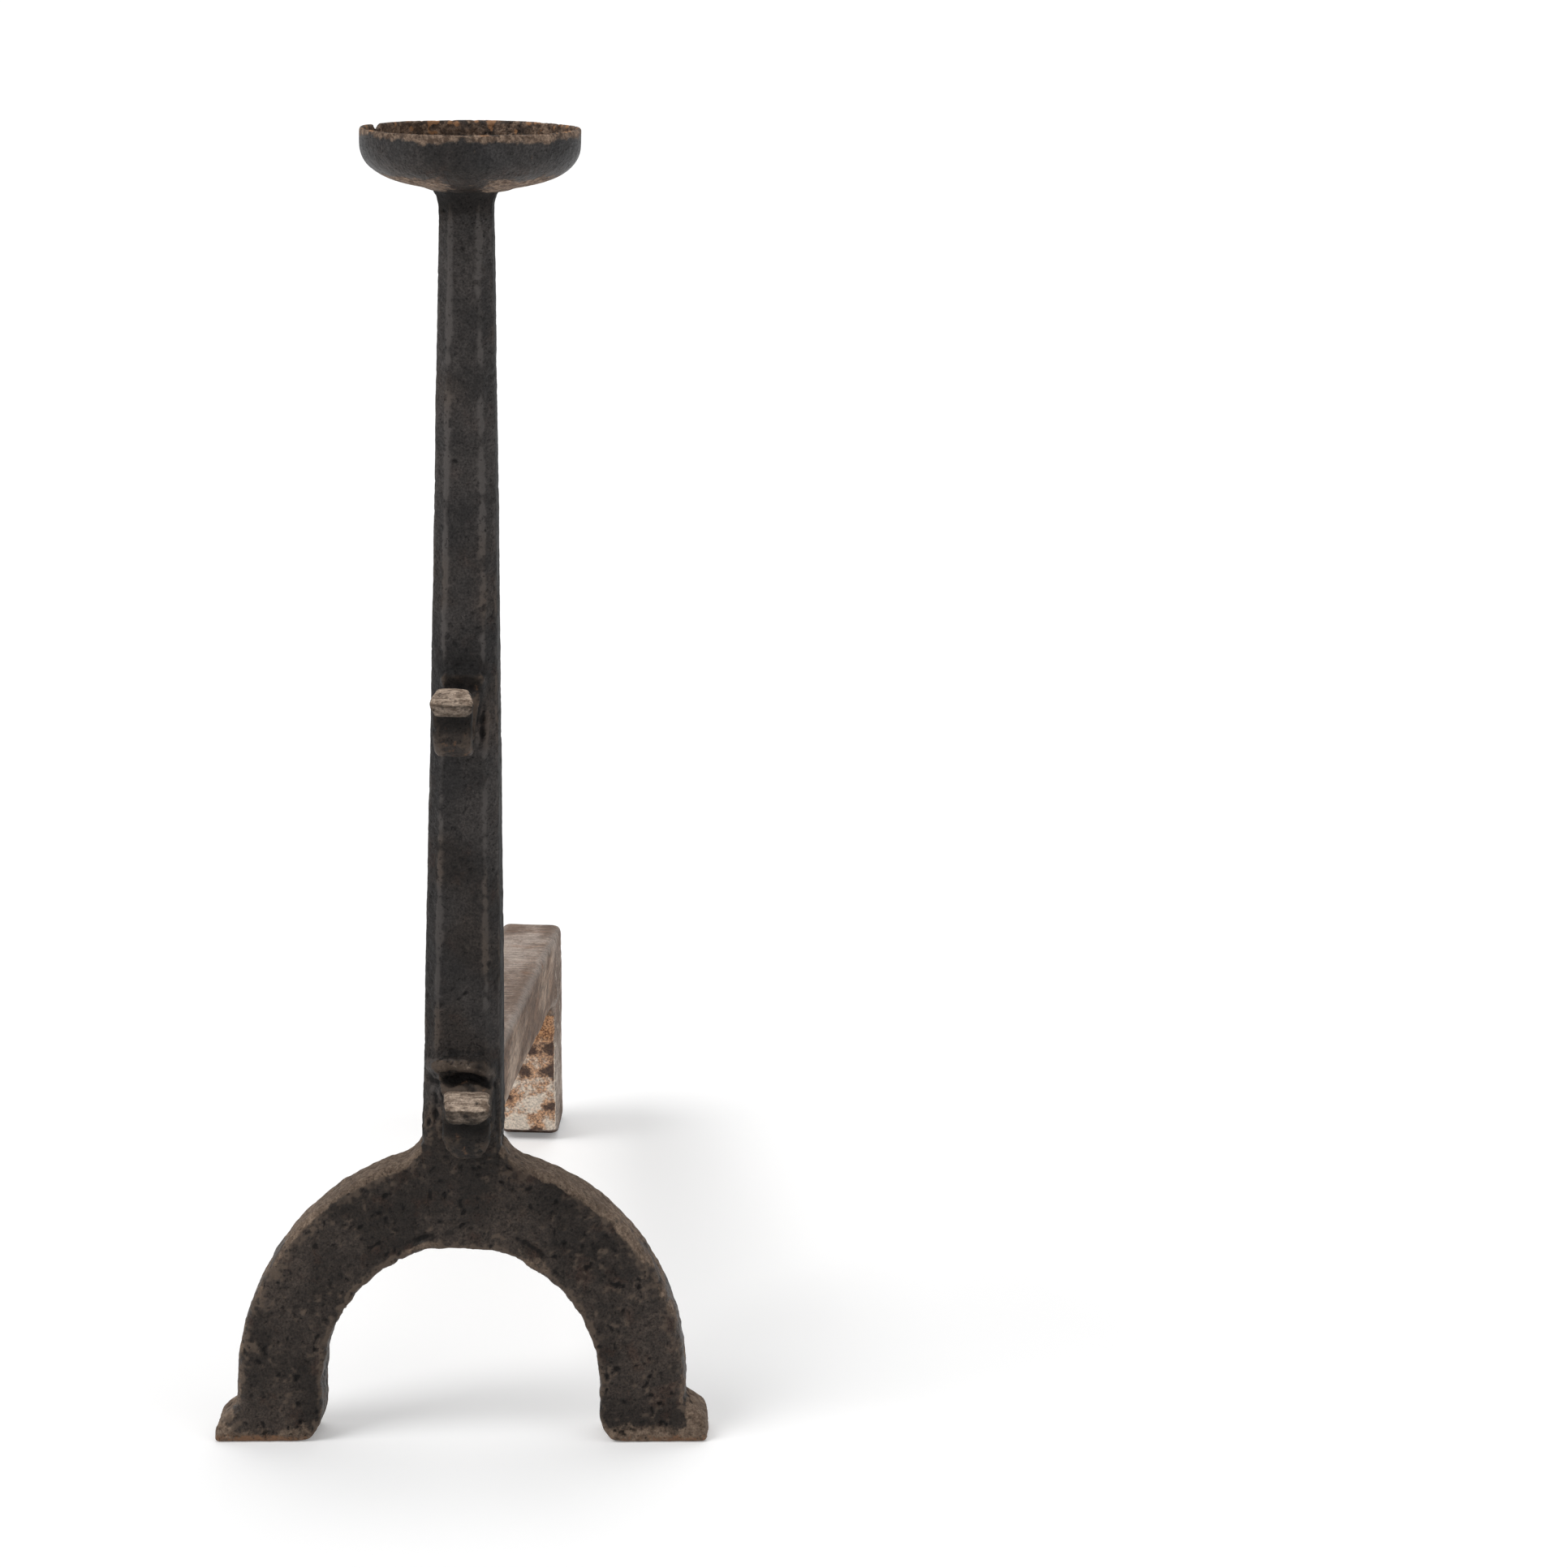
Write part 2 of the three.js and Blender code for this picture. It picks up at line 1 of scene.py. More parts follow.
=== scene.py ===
# %% [markdown]
# # A forged spit andiron
# An andiron holds burning logs off the hearth. This one also carries roasting spits on two hooks and
# a cresset cup on top. A smith made it from seven pieces of bar and sheet. This lesson gives each of
# them its hammered, pitted and fire-scaled surface. The construction comes ready made as a fixed
# frame, in metres, so every piece here is dressed exactly where it already stands.

# %% Load the frame
import math

import bmesh
import bpy
import numpy as np
from mathutils import Euler, Matrix, Vector, noise


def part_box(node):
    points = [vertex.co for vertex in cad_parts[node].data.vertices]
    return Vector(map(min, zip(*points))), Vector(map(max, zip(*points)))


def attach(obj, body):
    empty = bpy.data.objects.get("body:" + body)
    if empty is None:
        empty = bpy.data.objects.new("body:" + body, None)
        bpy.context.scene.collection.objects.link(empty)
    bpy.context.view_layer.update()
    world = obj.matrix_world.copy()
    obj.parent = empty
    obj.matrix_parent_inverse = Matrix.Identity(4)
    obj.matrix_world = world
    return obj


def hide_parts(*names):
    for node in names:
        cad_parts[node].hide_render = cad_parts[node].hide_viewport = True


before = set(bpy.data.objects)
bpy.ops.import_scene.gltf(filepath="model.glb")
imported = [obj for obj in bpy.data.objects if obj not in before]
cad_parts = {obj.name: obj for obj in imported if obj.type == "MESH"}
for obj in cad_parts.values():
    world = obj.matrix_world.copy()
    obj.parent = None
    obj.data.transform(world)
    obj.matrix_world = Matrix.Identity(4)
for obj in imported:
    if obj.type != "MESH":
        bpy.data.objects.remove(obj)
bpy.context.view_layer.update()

print("nodes", sorted(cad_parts))

# %% [markdown]
# ## Where the piece stands
# Sizes that several pieces share are read from the frame's own boxes, so nothing is typed twice. The
# standard's front face is the plane that carries the hooks. Places on the andiron are given in
# millimetres from the middle of that face: to the right, back from it, and up from the floor.

# %% Shared places
MM = 0.001
RIGHT_LEG_LOW, RIGHT_LEG_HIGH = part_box("right_leg")
LEFT_LEG_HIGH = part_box("left_leg")[1]
CUP_LOW, CUP_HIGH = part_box("cup")
STANDARD_LOW, STANDARD_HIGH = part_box("standard")
FRONT = RIGHT_LEG_LOW.y
MIDDLE_X = (STANDARD_LOW.x + STANDARD_HIGH.x) / 2
SHOULDER = RIGHT_LEG_HIGH.z / MM
CROWN = STANDARD_LOW.z / MM
CUP_CENTRE = (CUP_LOW + CUP_HIGH) / 2
print("front face at", round(FRONT, 4), "shoulder at", round(SHOULDER), "mm")

# %% [markdown]
# ## The camera
# The andiron was photographed from close by, with the eye above the cup and a little to its right.
# That is why the floor is seen from far steeper than the cup's rim. A small lens shift keeps the
# standard nearly upright in the picture while the camera still points down at it. Its angles are in
# radians, and its focal length is given in pixels of the photograph.

# %% Camera
EYE = Vector((MIDDLE_X + 175.1 * MM, FRONT - 2.0, 834.2 * MM))
PITCH_DOWN = 0.2081
TURN_LEFT = 0.0448
LEAN = 0.0085
FOCAL_PIXELS = 4936.8
IMAGE_PIXELS = 1932
SENSOR = 36.0
SHIFT_RIGHT = 0.1
SHIFT_DOWN = 0.06
FAR_CLIP = 100

camera_data = bpy.data.cameras.new("camera")
camera_data.sensor_width = SENSOR
camera_data.lens = SENSOR * FOCAL_PIXELS / IMAGE_PIXELS
camera_data.shift_x = SHIFT_RIGHT
camera_data.shift_y = -SHIFT_DOWN
camera_data.clip_end = FAR_CLIP
camera = bpy.data.objects.new("camera", camera_data)
aim = Euler((math.pi / 2 - PITCH_DOWN, 0, TURN_LEFT)).to_matrix().to_4x4()
camera.matrix_world = Matrix.Translation(EYE) @ aim @ Matrix.Rotation(LEAN, 4, "Z")
bpy.context.scene.collection.objects.link(camera)
bpy.context.scene.camera = camera
print("lens", round(camera_data.lens, 1), "mm")

# %% [markdown]
# ## Shader helpers
# Every material here is a chain of small steps: a noise, a range, a blend. A few helpers keep each
# step to one line, so that the chain reads from top to bottom.

# %% Shader helpers
FLOAT = "NodeSocketFloat"
VECTOR = "NodeSocketVector"
MIX_SHARE = 0
MIX_FIRST = 6
MIX_SECOND = 7
MIX_RESULT = 2


def feed(tree, socket, value):
    """Sets a socket to a number or a colour, or links another node's output to it."""
    if isinstance(value, (int, float)):
        socket.default_value = value
    elif isinstance(value, tuple):
        socket.default_value = (*value, 1) if len(socket.default_value) == 4 else value
    else:
        tree.links.new(value, socket)


def maths(tree, operation, first, second):
    node = tree.nodes.new("ShaderNodeMath")
    node.operation = operation
    feed(tree, node.inputs[0], first)
    feed(tree, node.inputs[1], second)
    return node.outputs[0]


def map_range(tree, value, low, high, to_low=0.0, to_high=1.0):
    node = tree.nodes.new("ShaderNodeMapRange")
    node.interpolation_type = "SMOOTHSTEP"
    feed(tree, node.inputs["Value"], value)
    limits = {"From Min": low, "From Max": high, "To Min": to_low, "To Max": to_high}
    for label, setting in limits.items():
        feed(tree, node.inputs[label], setting)
    return node.outputs["Result"]


def blend_colour(tree, share, first, second, kind="MIX"):
    node = tree.nodes.new("ShaderNodeMix")
    node.data_type = "RGBA"
    node.blend_type = kind
    feed(tree, node.inputs[MIX_SHARE], share)
    feed(tree, node.inputs[MIX_FIRST], first)
    feed(tree, node.inputs[MIX_SECOND], second)
    return node.outputs[MIX_RESULT]


def multiplied(tree, colour, factor):
    return blend_colour(tree, 1.0, colour, factor, "MULTIPLY")


def lay_over(tree, colour, mask, strength, tone):
    """Lays a tone over a colour where the mask says so, up to the strength."""
    return blend_colour(tree, maths(tree, "MULTIPLY", mask, strength), colour, tone)


def noise_of(tree, where, scale, detail=4.0, rough=0.55):
    node = tree.nodes.new("ShaderNodeTexNoise")
    feed(tree, node.inputs["Vector"], where)
    feed(tree, node.inputs["Scale"], scale)
    node.inputs["Detail"].default_value = detail
    node.inputs["Roughness"].default_value = rough
    return node.outputs["Fac"]


def streak_noise(tree, where, stretch, seed):
    """Noise drawn out along the axis that has the smallest scale."""
    mapping = tree.nodes.new("ShaderNodeMapping")
    feed(tree, mapping.inputs["Vector"], where)
    mapping.inputs["Scale"].default_value = stretch
    mapping.inputs["Location"].default_value = (seed, seed * 2, seed * 3)
    return noise_of(tree, mapping.outputs[0], 1.0, 5, 0.65)


# %% [markdown]
# ## Floor and light
# Black iron shows its shape by what it reflects, so the light is a pale sky with three wide, soft
# suns rather than lamps that fade over the floor. The floor is a lit surface, so the feet keep their
# soft shadows. A little glow that only the camera and reflections see lifts it to white elsewhere.

# %% Floor
WHITE_LIFT = 0.185
FLOOR_SIZE = 60.0
FLOOR_TONE = (0.86, 0.86, 0.86)


def floor_material():
    material = bpy.data.materials.new("pale_floor")
    material.use_nodes = True
    tree = material.node_tree
    tree.nodes.clear()
    diffuse = tree.nodes.new("ShaderNodeBsdfDiffuse")
    feed(tree, diffuse.inputs["Color"], FLOOR_TONE)
    glow = tree.nodes.new("ShaderNodeEmission")
    path = tree.nodes.new("ShaderNodeLightPath")
    seen = maths(tree, "MAXIMUM", path.outputs["Is Camera Ray"], path.outputs["Is Glossy Ray"])
    seen = maths(tree, "MAXIMUM", seen, path.outputs["Is Transmission Ray"])
    feed(tree, glow.inputs["Strength"], maths(tree, "MULTIPLY", seen, WHITE_LIFT))
    total = tree.nodes.new("ShaderNodeAddShader")
    output = tree.nodes.new("ShaderNodeOutputMaterial")
    tree.links.new(diffuse.outputs[0], total.inputs[0])
    tree.links.new(glow.outputs[0], total.inputs[1])
    tree.links.new(total.outputs[0], output.inputs["Surface"])
    return material


floor_mesh = bmesh.new()
bmesh.ops.create_grid(floor_mesh, x_segments=1, y_segments=1, size=FLOOR_SIZE / 2)
floor_data = bpy.data.meshes.new("floor")
floor_mesh.to_mesh(floor_data)
floor_mesh.free()
floor = bpy.data.objects.new("floor", floor_data)
floor.data.materials.append(floor_material())
bpy.context.scene.collection.objects.link(floor)
print("floor", FLOOR_SIZE, "m wide")

# %% World and suns
SKY_LEVEL = 0.36
SUNS = {
    "left_sun": ((-1.1, -0.7, 1.5), 30, 1.48),
    "right_sun": ((1.2, -0.5, 1.1), 50, 0.42),
    "top_sun": ((0.05, 0.5, 1.0), 48, 0.80),
}

world = bpy.data.worlds.new("pale_sky")
bpy.context.scene.world = world
world.use_nodes = True
world_tree = world.node_tree
background = world_tree.nodes["Background"]
background.inputs["Color"].default_value = (1, 1, 1, 1)
world_path = world_tree.nodes.new("ShaderNodeLightPath")
sky = map_range(world_tree, world_path.outputs["Is Camera Ray"], 0.0, 1.0, SKY_LEVEL, 1.0)
feed(world_tree, background.inputs["Strength"], sky)


def soft_sun(name, comes_from, spread, strength):
    light = bpy.data.lights.new(name, "SUN")
    light.energy = strength
    light.angle = math.radians(spread)
    lamp = bpy.data.objects.new(name, light)
    lamp.rotation_euler = Vector(comes_from).to_track_quat("Z", "Y").to_euler()
    bpy.context.scene.collection.objects.link(lamp)


for name, (comes_from, spread, strength) in SUNS.items():
    soft_sun(name, comes_from, spread, strength)
bpy.context.scene.view_settings.view_transform = "Standard"
print("suns", *SUNS)

# %% [markdown]
# ## From construction solid to forged surface
# A construction solid has flat faces and crisp edges. Forged iron has neither. A voxel remesh turns a
# solid into an even skin of small quads, which can then be worn round, waved by the hammer and
# pitted by rust, all by moving vertices along their normals.

# %% Mesh helpers
MERGE_GAP = 0.01 * MM


def node_copy(name):
    """A copy of a construction solid, its loose triangles merged."""
    piece = bmesh.new()
    piece.from_mesh(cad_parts[name].data)
    bmesh.ops.remove_doubles(piece, verts=piece.verts, dist=MERGE_GAP)
    return piece


def to_object(piece, name):
    data = bpy.data.meshes.new(name)
    piece.to_mesh(data)
    piece.free()
    made = bpy.data.objects.new(name, data)
    bpy.context.scene.collection.objects.link(made)
    return made


def remesh(made, voxel):
    modifier = made.modifiers.new("even_skin", "REMESH")
    modifier.mode = "VOXEL"
    modifier.voxel_size = voxel
    bpy.context.view_layer.update()
    evaluated = made.evaluated_get(bpy.context.evaluated_depsgraph_get())
    skin = bpy.data.meshes.new_from_object(evaluated)
    made.modifiers.clear()
    old = made.data
    made.data = skin
    bpy.data.meshes.remove(old)
    return made


def vertex_table(made, what="co"):
    """One row for each vertex: its place, or its normal."""
    table = np.zeros(len(made.data.vertices) * 3)
    made.data.vertices.foreach_get(what, table)
    return table.reshape(-1, 3)


def set_places(made, places):
    made.data.vertices.foreach_set("co", places.ravel())
    made.data.update()


def relaxed(made, places, rounds, share=0.5):
    """Places drawn towards their neighbours, which takes off crisp edges."""
    edges = np.zeros(len(made.data.edges) * 2, int)
    made.data.edges.foreach_get("vertices", edges)
    first, second = edges.reshape(-1, 2).T
    count = np.bincount(edges, minlength=len(places))[:, None]
    for _ in range(rounds):
        total = np.zeros_like(places)
        for axis in range(3):
            total[:, axis] = np.bincount(first, places[second, axis], len(places))
            total[:, axis] += np.bincount(second, places[first, axis], len(places))
        places = places + share * (total / count - places)
    return places


# %% Surface fields
SEED_STEPS = (7.3, 3.1, 5.7)


def waves(places, size, seed, stretch=(1, 1, 1)):
    """Smooth noise between -1 and 1 with lumps about `size` metres across."""
    offset = Vector([seed * step for step in SEED_STEPS])
    scaled = places / size / np.array(stretch)
    return np.array([noise.noise(Vector(p) + offset) for p in scaled])


def ramp(values, low, high):
    """0 below low, 1 above high, and a smooth rise between."""
    share = np.clip((values - low) / (high - low), 0, 1)
    return share * share * (3 - 2 * share)


def pits(places, size, seed):
    """0 on sound metal, up to 1 in the middle of a crumbling rust pit."""
    cloud = waves(places, size, seed) + 0.55 * waves(places, size * 0.45, seed + 50)
    return ramp(-cloud, 0.22, 0.75)


def lump(*spans):
    """A soft hill, 1 in its middle; each span is a distance from the middle and a half width."""
    return np.exp(-sum((distance / width) ** 2 for distance, width in spans))


def bench_places(made):
    """Millimetres right of, behind and above the foot of the standard's front face."""
    return ((vertex_table(made) - np.array((MIDDLE_X, FRONT, 0))) / MM).T


def push(made, millimetres):
    """Moves each vertex along its normal, outwards where the number is positive."""
    places = vertex_table(made)
    set_places(made, places + vertex_table(made, "normal") * millimetres[:, None] * MM)


def store(made, name, values):
    """Keeps one number between 0 and 1 for each vertex, for the shader to read."""
    layer = made.data.attributes.new(name, "FLOAT", "POINT")
    layer.data.foreach_set("value", np.clip(values, 0, 1).astype(np.float32))


def mark_wear(made, rounds=14, reach=0.45, spare=0.0, painted_highlight_lines=0.0):
    """Stores how far each vertex stands out of its surroundings, and how deep it lies.

    Edges count less where they are spared, and painted highlight lines are added to them.
    """
    places = vertex_table(made)
    normals = vertex_table(made, "normal")
    proud = ((places - relaxed(made, places, rounds)) * normals).sum(1) / MM / reach
    store(made, "proud", proud * (1 - spare) + painted_highlight_lines)
    store(made, "sunk", -proud)


def finish_piece(made, material, slot, *nodes):
    made.data.materials.clear()
    made.data.materials.append(material)
    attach(made, "root")
    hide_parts(*nodes)
    print(made.name, len(made.data.polygons), "faces")


# %% [markdown]
# ## Shared effects
# Four effects return in these finishes: dark pores, wear that gnaws at a marked place, patches, and
# scattered flecks. Each is a node group with its own inputs, so a finish only sets their strength.

# %% Group helpers
def new_group(name, inputs, outputs):
    group = bpy.data.node_groups.new(name, "ShaderNodeTree")
    for label, kind, value in inputs:
        item = group.interface.new_socket(label, in_out="INPUT", socket_type=kind)
        if value is not None:
            item.default_value = value
    for label, kind in outputs:
        group.interface.new_socket(label, in_out="OUTPUT", socket_type=kind)
    start = group.nodes.new("NodeGroupInput").outputs
    end = group.nodes.new("NodeGroupOutput").inputs
    return group, start, end


def use_group(tree, group, **values):
    """Places a group in a material with this finish's own values."""
    node = tree.nodes.new("ShaderNodeGroup")
    node.node_tree = group
    for label, value in values.items():
        feed(tree, node.inputs[label], value)
    return node.outputs


# %% Pores
def pore_group():
    group, start, end = new_group(
        "pores",
        [("Where", VECTOR, None), ("Scale", FLOAT, 400.0), ("Cover", FLOAT, 0.5)],
        [("Mask", FLOAT), ("Height", FLOAT)],
    )
    bend = group.nodes.new("ShaderNodeTexNoise")
    feed(group, bend.inputs["Vector"], start["Where"])
    bend.inputs["Scale"].default_value = 420
    bent = group.nodes.new("ShaderNodeVectorMath")
    bent.operation = "MULTIPLY_ADD"
    feed(group, bent.inputs[0], bend.outputs["Color"])
    bent.inputs[1].default_value = (0.004, 0.004, 0.004)
    feed(group, bent.inputs[2], start["Where"])
    cells = group.nodes.new("ShaderNodeTexVoronoi")
    feed(group, cells.inputs["Vector"], bent.outputs[0])
    feed(group, cells.inputs["Scale"], start["Scale"])
    broken = noise_of(group, start["Where"], 170, 5)
    edge = maths(group, "MULTIPLY", broken, start["Cover"])
    mask = map_range(group, cells.outputs["Distance"], edge, 0.05, 0.0, 1.0)
    rough = noise_of(group, start["Where"], 800, 4, 0.65)
    height = maths(group, "SUBTRACT", maths(group, "MULTIPLY", rough, 0.8), mask)
    feed(group, end["Mask"], mask)
    feed(group, end["Height"], height)
    return group


PORES = pore_group()


# %% Wear that gnaws at a marked place
def wear_group():
    group, start, end = new_group(
        "gnawed_wear",
        [
            ("Where", VECTOR, None),
            ("Marked", FLOAT, 0.0),
            ("Reach", FLOAT, 0.5),
            ("Scale", FLOAT, 90.0),
        ],
        [("Mask", FLOAT)],
    )
    broken = noise_of(group, start["Where"], start["Scale"], 6, 0.65)
    swing = maths(group, "MULTIPLY", maths(group, "SUBTRACT", broken, 0.5), 1.6)
    lifted = maths(group, "ADD", start["Marked"], swing)
    lower = maths(group, "SUBTRACT", 1.0, start["Reach"])
    feed(group, end["Mask"], map_range(group, lifted, lower, maths(group, "ADD", lower, 0.4)))
    return group


WEAR = wear_group()


def gnawed(tree, where, marked, reach, scale):
    """A marked place with a broken border; the scale sets how fine the breaks are."""
    return use_group(tree, WEAR, Where=where, Marked=marked, Reach=reach, Scale=scale)["Mask"]


# %% Patches and flecks
def patch_group():
    group, start, end = new_group(
        "patches",
        [
            ("Where", VECTOR, None),
            ("Scale", FLOAT, 30.0),
            ("Cover", FLOAT, 0.5),
            ("Soft", FLOAT, 0.1),
        ],
        [("Mask", FLOAT)],
    )
    cloud = noise_of(group, start["Where"], start["Scale"], 7, 0.6)
    low = maths(group, "SUBTRACT", 1.0, start["Cover"])
    high = maths(group, "ADD", low, start["Soft"])
    feed(group, end["Mask"], map_range(group, cloud, low, high))
    return group


def fleck_group():
    group, start, end = new_group(
        "flecks",
        [
            ("Where", VECTOR, None),
            ("Scale", FLOAT, 300.0),
            ("Share", FLOAT, 0.1),
            ("Size", FLOAT, 0.3),
        ],
        [("Mask", FLOAT)],
    )
    bent = noise_of(group, start["Where"], 500, 2)
    cells = group.nodes.new("ShaderNodeTexVoronoi")
    feed(group, cells.inputs["Vector"], start["Where"])
    feed(group, cells.inputs["Scale"], start["Scale"])
    size = maths(group, "MULTIPLY", maths(group, "MULTIPLY", bent, 2.0), start["Size"])
    core = maths(group, "MULTIPLY", size, 0.4)
    inside = map_range(group, cells.outputs["Distance"], size, core, 0.0, 1.0)
    chosen = maths(group, "LESS_THAN", cells.outputs["Color"], start["Share"])
    feed(group, end["Mask"], maths(group, "MULTIPLY", inside, chosen))
    return group


PATCHES = patch_group()
FLECKS = fleck_group()
print("groups", *sorted(group.name for group in bpy.data.node_groups))

# %% [markdown]
# ## Blackened iron
# Years of polish and smoke leave a skin that is blue-black on the standard and browner towards the
# fire. It could be painted as one picture round the andiron, but a picture has a fixed size and seams.
# Here the forging steps mark where the iron is brown, rubbed, rusty, proud or sunk, and where soot and
# painted shade darken it, one number for each vertex. The shader turns those marks into colour, with
# painted highlights on proud edges and painted shade in sunk folds, and breaks up their borders with
# noise.

# %% What every finish starts from
def new_material(name):
    """A material, its tree, its main shader and the place on the andiron."""
    material = bpy.data.materials.new(name)
    material.use_nodes = True
    tree = material.node_tree
    where = tree.nodes.new("ShaderNodeTexCoord").outputs["Object"]
    return material, tree, tree.nodes["Principled BSDF"], where


def attribute(tree, name):
    node = tree.nodes.new("ShaderNodeAttribute")
    node.attribute_name = name
    return node.outputs["Fac"]


def raise_relief(tree, shader, relief, strength, height):
    """Turns a grey relief into a bump of a height in metres."""
    bump = tree.nodes.new("ShaderNodeBump")
    bump.inputs["Strength"].default_value = strength
    bump.inputs["Distance"].default_value = height
    feed(tree, bump.inputs["Height"], relief)
    feed(tree, shader.inputs["Normal"], bump.outputs[0])


# %% Smoked skin
BLUE_BLACK = ((0.0200, 0.0192, 0.0196), (0.0380, 0.0352, 0.0345))
BROWN_BLACK = ((0.0195, 0.0148, 0.0120), (0.0440, 0.0335, 0.0275))
RED_BROWN = (0.042, 0.021, 0.014)


def smoked_skin(tree, where, brown, depth):
    """Clouded blue-black or brown-black with a coarse and a fine grain; gives the fine one too."""
    cloud = map_range(tree, noise_of(tree, where, 30, 5), 0.36, 0.64)
    cool = blend_colour(tree, cloud, *BLUE_BLACK)
    warm = blend_colour(tree, cloud, *BROWN_BLACK)
    colour = blend_colour(tree, brown, cool, warm)
    reddish = use_group(tree, PATCHES, Where=where, Scale=70.0, Cover=0.47, Soft=0.14)["Mask"]
    colour = lay_over(tree, colour, reddish, maths(tree, "MULTIPLY", brown, 0.45), RED_BROWN)
    coarse = noise_of(tree, where, 210, 4, 0.6)
    coarse = map_range(tree, coarse, 0.3, 0.7, 0.82 * depth, 1.26 * depth)
    colour = multiplied(tree, colour, coarse)
    fine = map_range(tree, noise_of(tree, where, 850, 3, 0.7), 0.3, 0.7, 0.55, 1.6)
    return multiplied(tree, colour, fine), fine


# %% Edge wear with painted highlights, and bare metal
EDGE_WEAR_AND_HIGHLIGHT = ((0.088, 0.086, 0.088), (0.110, 0.080, 0.060))


# Lighter convex edges: partly edge wear, partly a painted highlight where the chamfers meet the faces.
def edge_wear_and_highlight(tree, where, colour, brown, proud):
    tone = blend_colour(tree, brown, *EDGE_WEAR_AND_HIGHLIGHT)
    drift = map_range(tree, noise_of(tree, where, 60, 3), 0.35, 0.65, 0.25, 1.0)
    edge = map_range(tree, maths(tree, "MULTIPLY", proud, drift), 0.1, 0.6, 0.0, 0.8)
    return blend_colour(tree, edge, colour, tone)


def bare_metal(tree, where, fine, tones, stretch):
    """Metal with the grooves that years of use rubbed into it; gives the grooves too."""
    grain = map_range(tree, streak_noise(tree, where, stretch, 2.3), 0.38, 0.62)
    tone = blend_colour(tree, grain, *tones)
    return blend_colour(tree, 0.6, tone, fine, "MULTIPLY"), grain


# %% Iron recipe
RUST_BROWN = (0.235, 0.125, 0.070)
PIT_AND_SHADE_BLACK = (0.0045, 0.004, 0.004)
SOOT_AND_SHADE_BLACK = (0.005, 0.0045, 0.0042)
PAINTED_GLINT = (0.2, 0.175, 0.155)
EVEN_GRAIN = (300, 300, 300)


def iron_material(name, rub_tones, rub_grain=EVEN_GRAIN, rust_tone=RUST_BROWN, depth=1.0):
    """Blackened iron; a smaller depth makes its skin darker."""
    material, tree, shader, where = new_material(name)
    brown, rub, rust = (attribute(tree, label) for label in ("brown", "rub", "rust"))
    proud, sunk, soot_and_shade = (attribute(tree, label) for label in ("proud", "sunk", "soot_and_shade"))

    colour, fine = smoked_skin(tree, where, brown, depth)
    colour = edge_wear_and_highlight(tree, where, colour, brown, proud)
    rubbed = gnawed(tree, where, rub, 0.72, 150.0)
    metal, grain = bare_metal(tree, where, fine, rub_tones, rub_grain)
    colour = blend_colour(tree, rubbed, colour, metal)
    colour = lay_over(tree, colour, gnawed(tree, where, rust, 0.62, 330.0), 0.85, rust_tone)
    pores = use_group(tree, PORES, Where=where, Scale=360.0, Cover=0.62)
    # Dark rust pores, and painted shade where the skin is sunk: in rust pits and in folds and
    # crevices.
    pits_and_hollow_shade = map_range(tree, sunk, 0.12, 0.9, 0.0, 0.8)
    dark = maths(tree, "MAXIMUM", maths(tree, "MULTIPLY", pores["Mask"], 0.42), pits_and_hollow_shade)
    colour = blend_colour(tree, dark, colour, PIT_AND_SHADE_BLACK)
    # Darkening from the vertex mark for soot and painted shade.
    colour = lay_over(tree, colour, soot_and_shade, 0.85, SOOT_AND_SHADE_BLACK)
    # Painted glints: a few pale flecks that stand in for sparkles of light on the iron.
    painted_glints = use_group(tree, FLECKS, Where=where, Scale=210.0, Share=0.035, Size=0.16)["Mask"]
    feed(tree, shader.inputs["Base Color"], lay_over(tree, colour, painted_glints, 0.8, PAINTED_GLINT))

    shader.inputs["Metallic"].default_value = 0.1
    shader.inputs["Specular IOR Level"].default_value = 0.2
    polish = map_range(tree, noise_of(tree, where, 60, 5, 0.6), 0.3, 0.7, 0.38, 0.54)
    dull = maths(tree, "MAXIMUM", maths(tree, "MAXIMUM", dark, rubbed), soot_and_shade)
    dull = maths(tree, "MULTIPLY", dull, 0.3)
    feed(tree, shader.inputs["Roughness"], maths(tree, "ADD", polish, dull))
    groove = maths(tree, "MULTIPLY", maths(tree, "MULTIPLY", grain, rubbed), 0.7)
    peel = maths(tree, "MULTIPLY", noise_of(tree, where, 260, 3, 0.5), 2.2)
    relief = maths(tree, "ADD", pores["Height"], maths(tree, "ADD", groove, peel))
    raise_relief(tree, shader, relief, 0.9, 0.55 * MM)
    return material


# %% The three irons
BLACK_IRON = iron_material("black_iron", ((0.130, 0.091, 0.066), (0.225, 0.165, 0.121)))
HOOK_IRON = iron_material(
    "worn_iron",
    ((0.19, 0.137, 0.100), (0.56, 0.44, 0.345)),
    rub_grain=(130, 400, 400),
    depth=0.72,
)
CUP_IRON = iron_material(
    "cup_iron",
    ((0.094, 0.062, 0.044), (0.30, 0.213, 0.155)),
    rust_tone=(0.42, 0.22, 0.11),
)
print("irons", BLACK_IRON.name, HOOK_IRON.name, CUP_IRON.name)

# %% [markdown]
# ## Standard, legs and hooks
# The smith heated and hammered these five bars into one, so no joint is left to see. The legs' scarfs
# and the hooks' backs are pushed into the standard here, and all five are remeshed as one skin. It is
# forged as a whole and then parted again, so that each bar stays a closed piece of its own. Dressing
# each bar alone would be simpler, but it would leave a visible line at every weld.

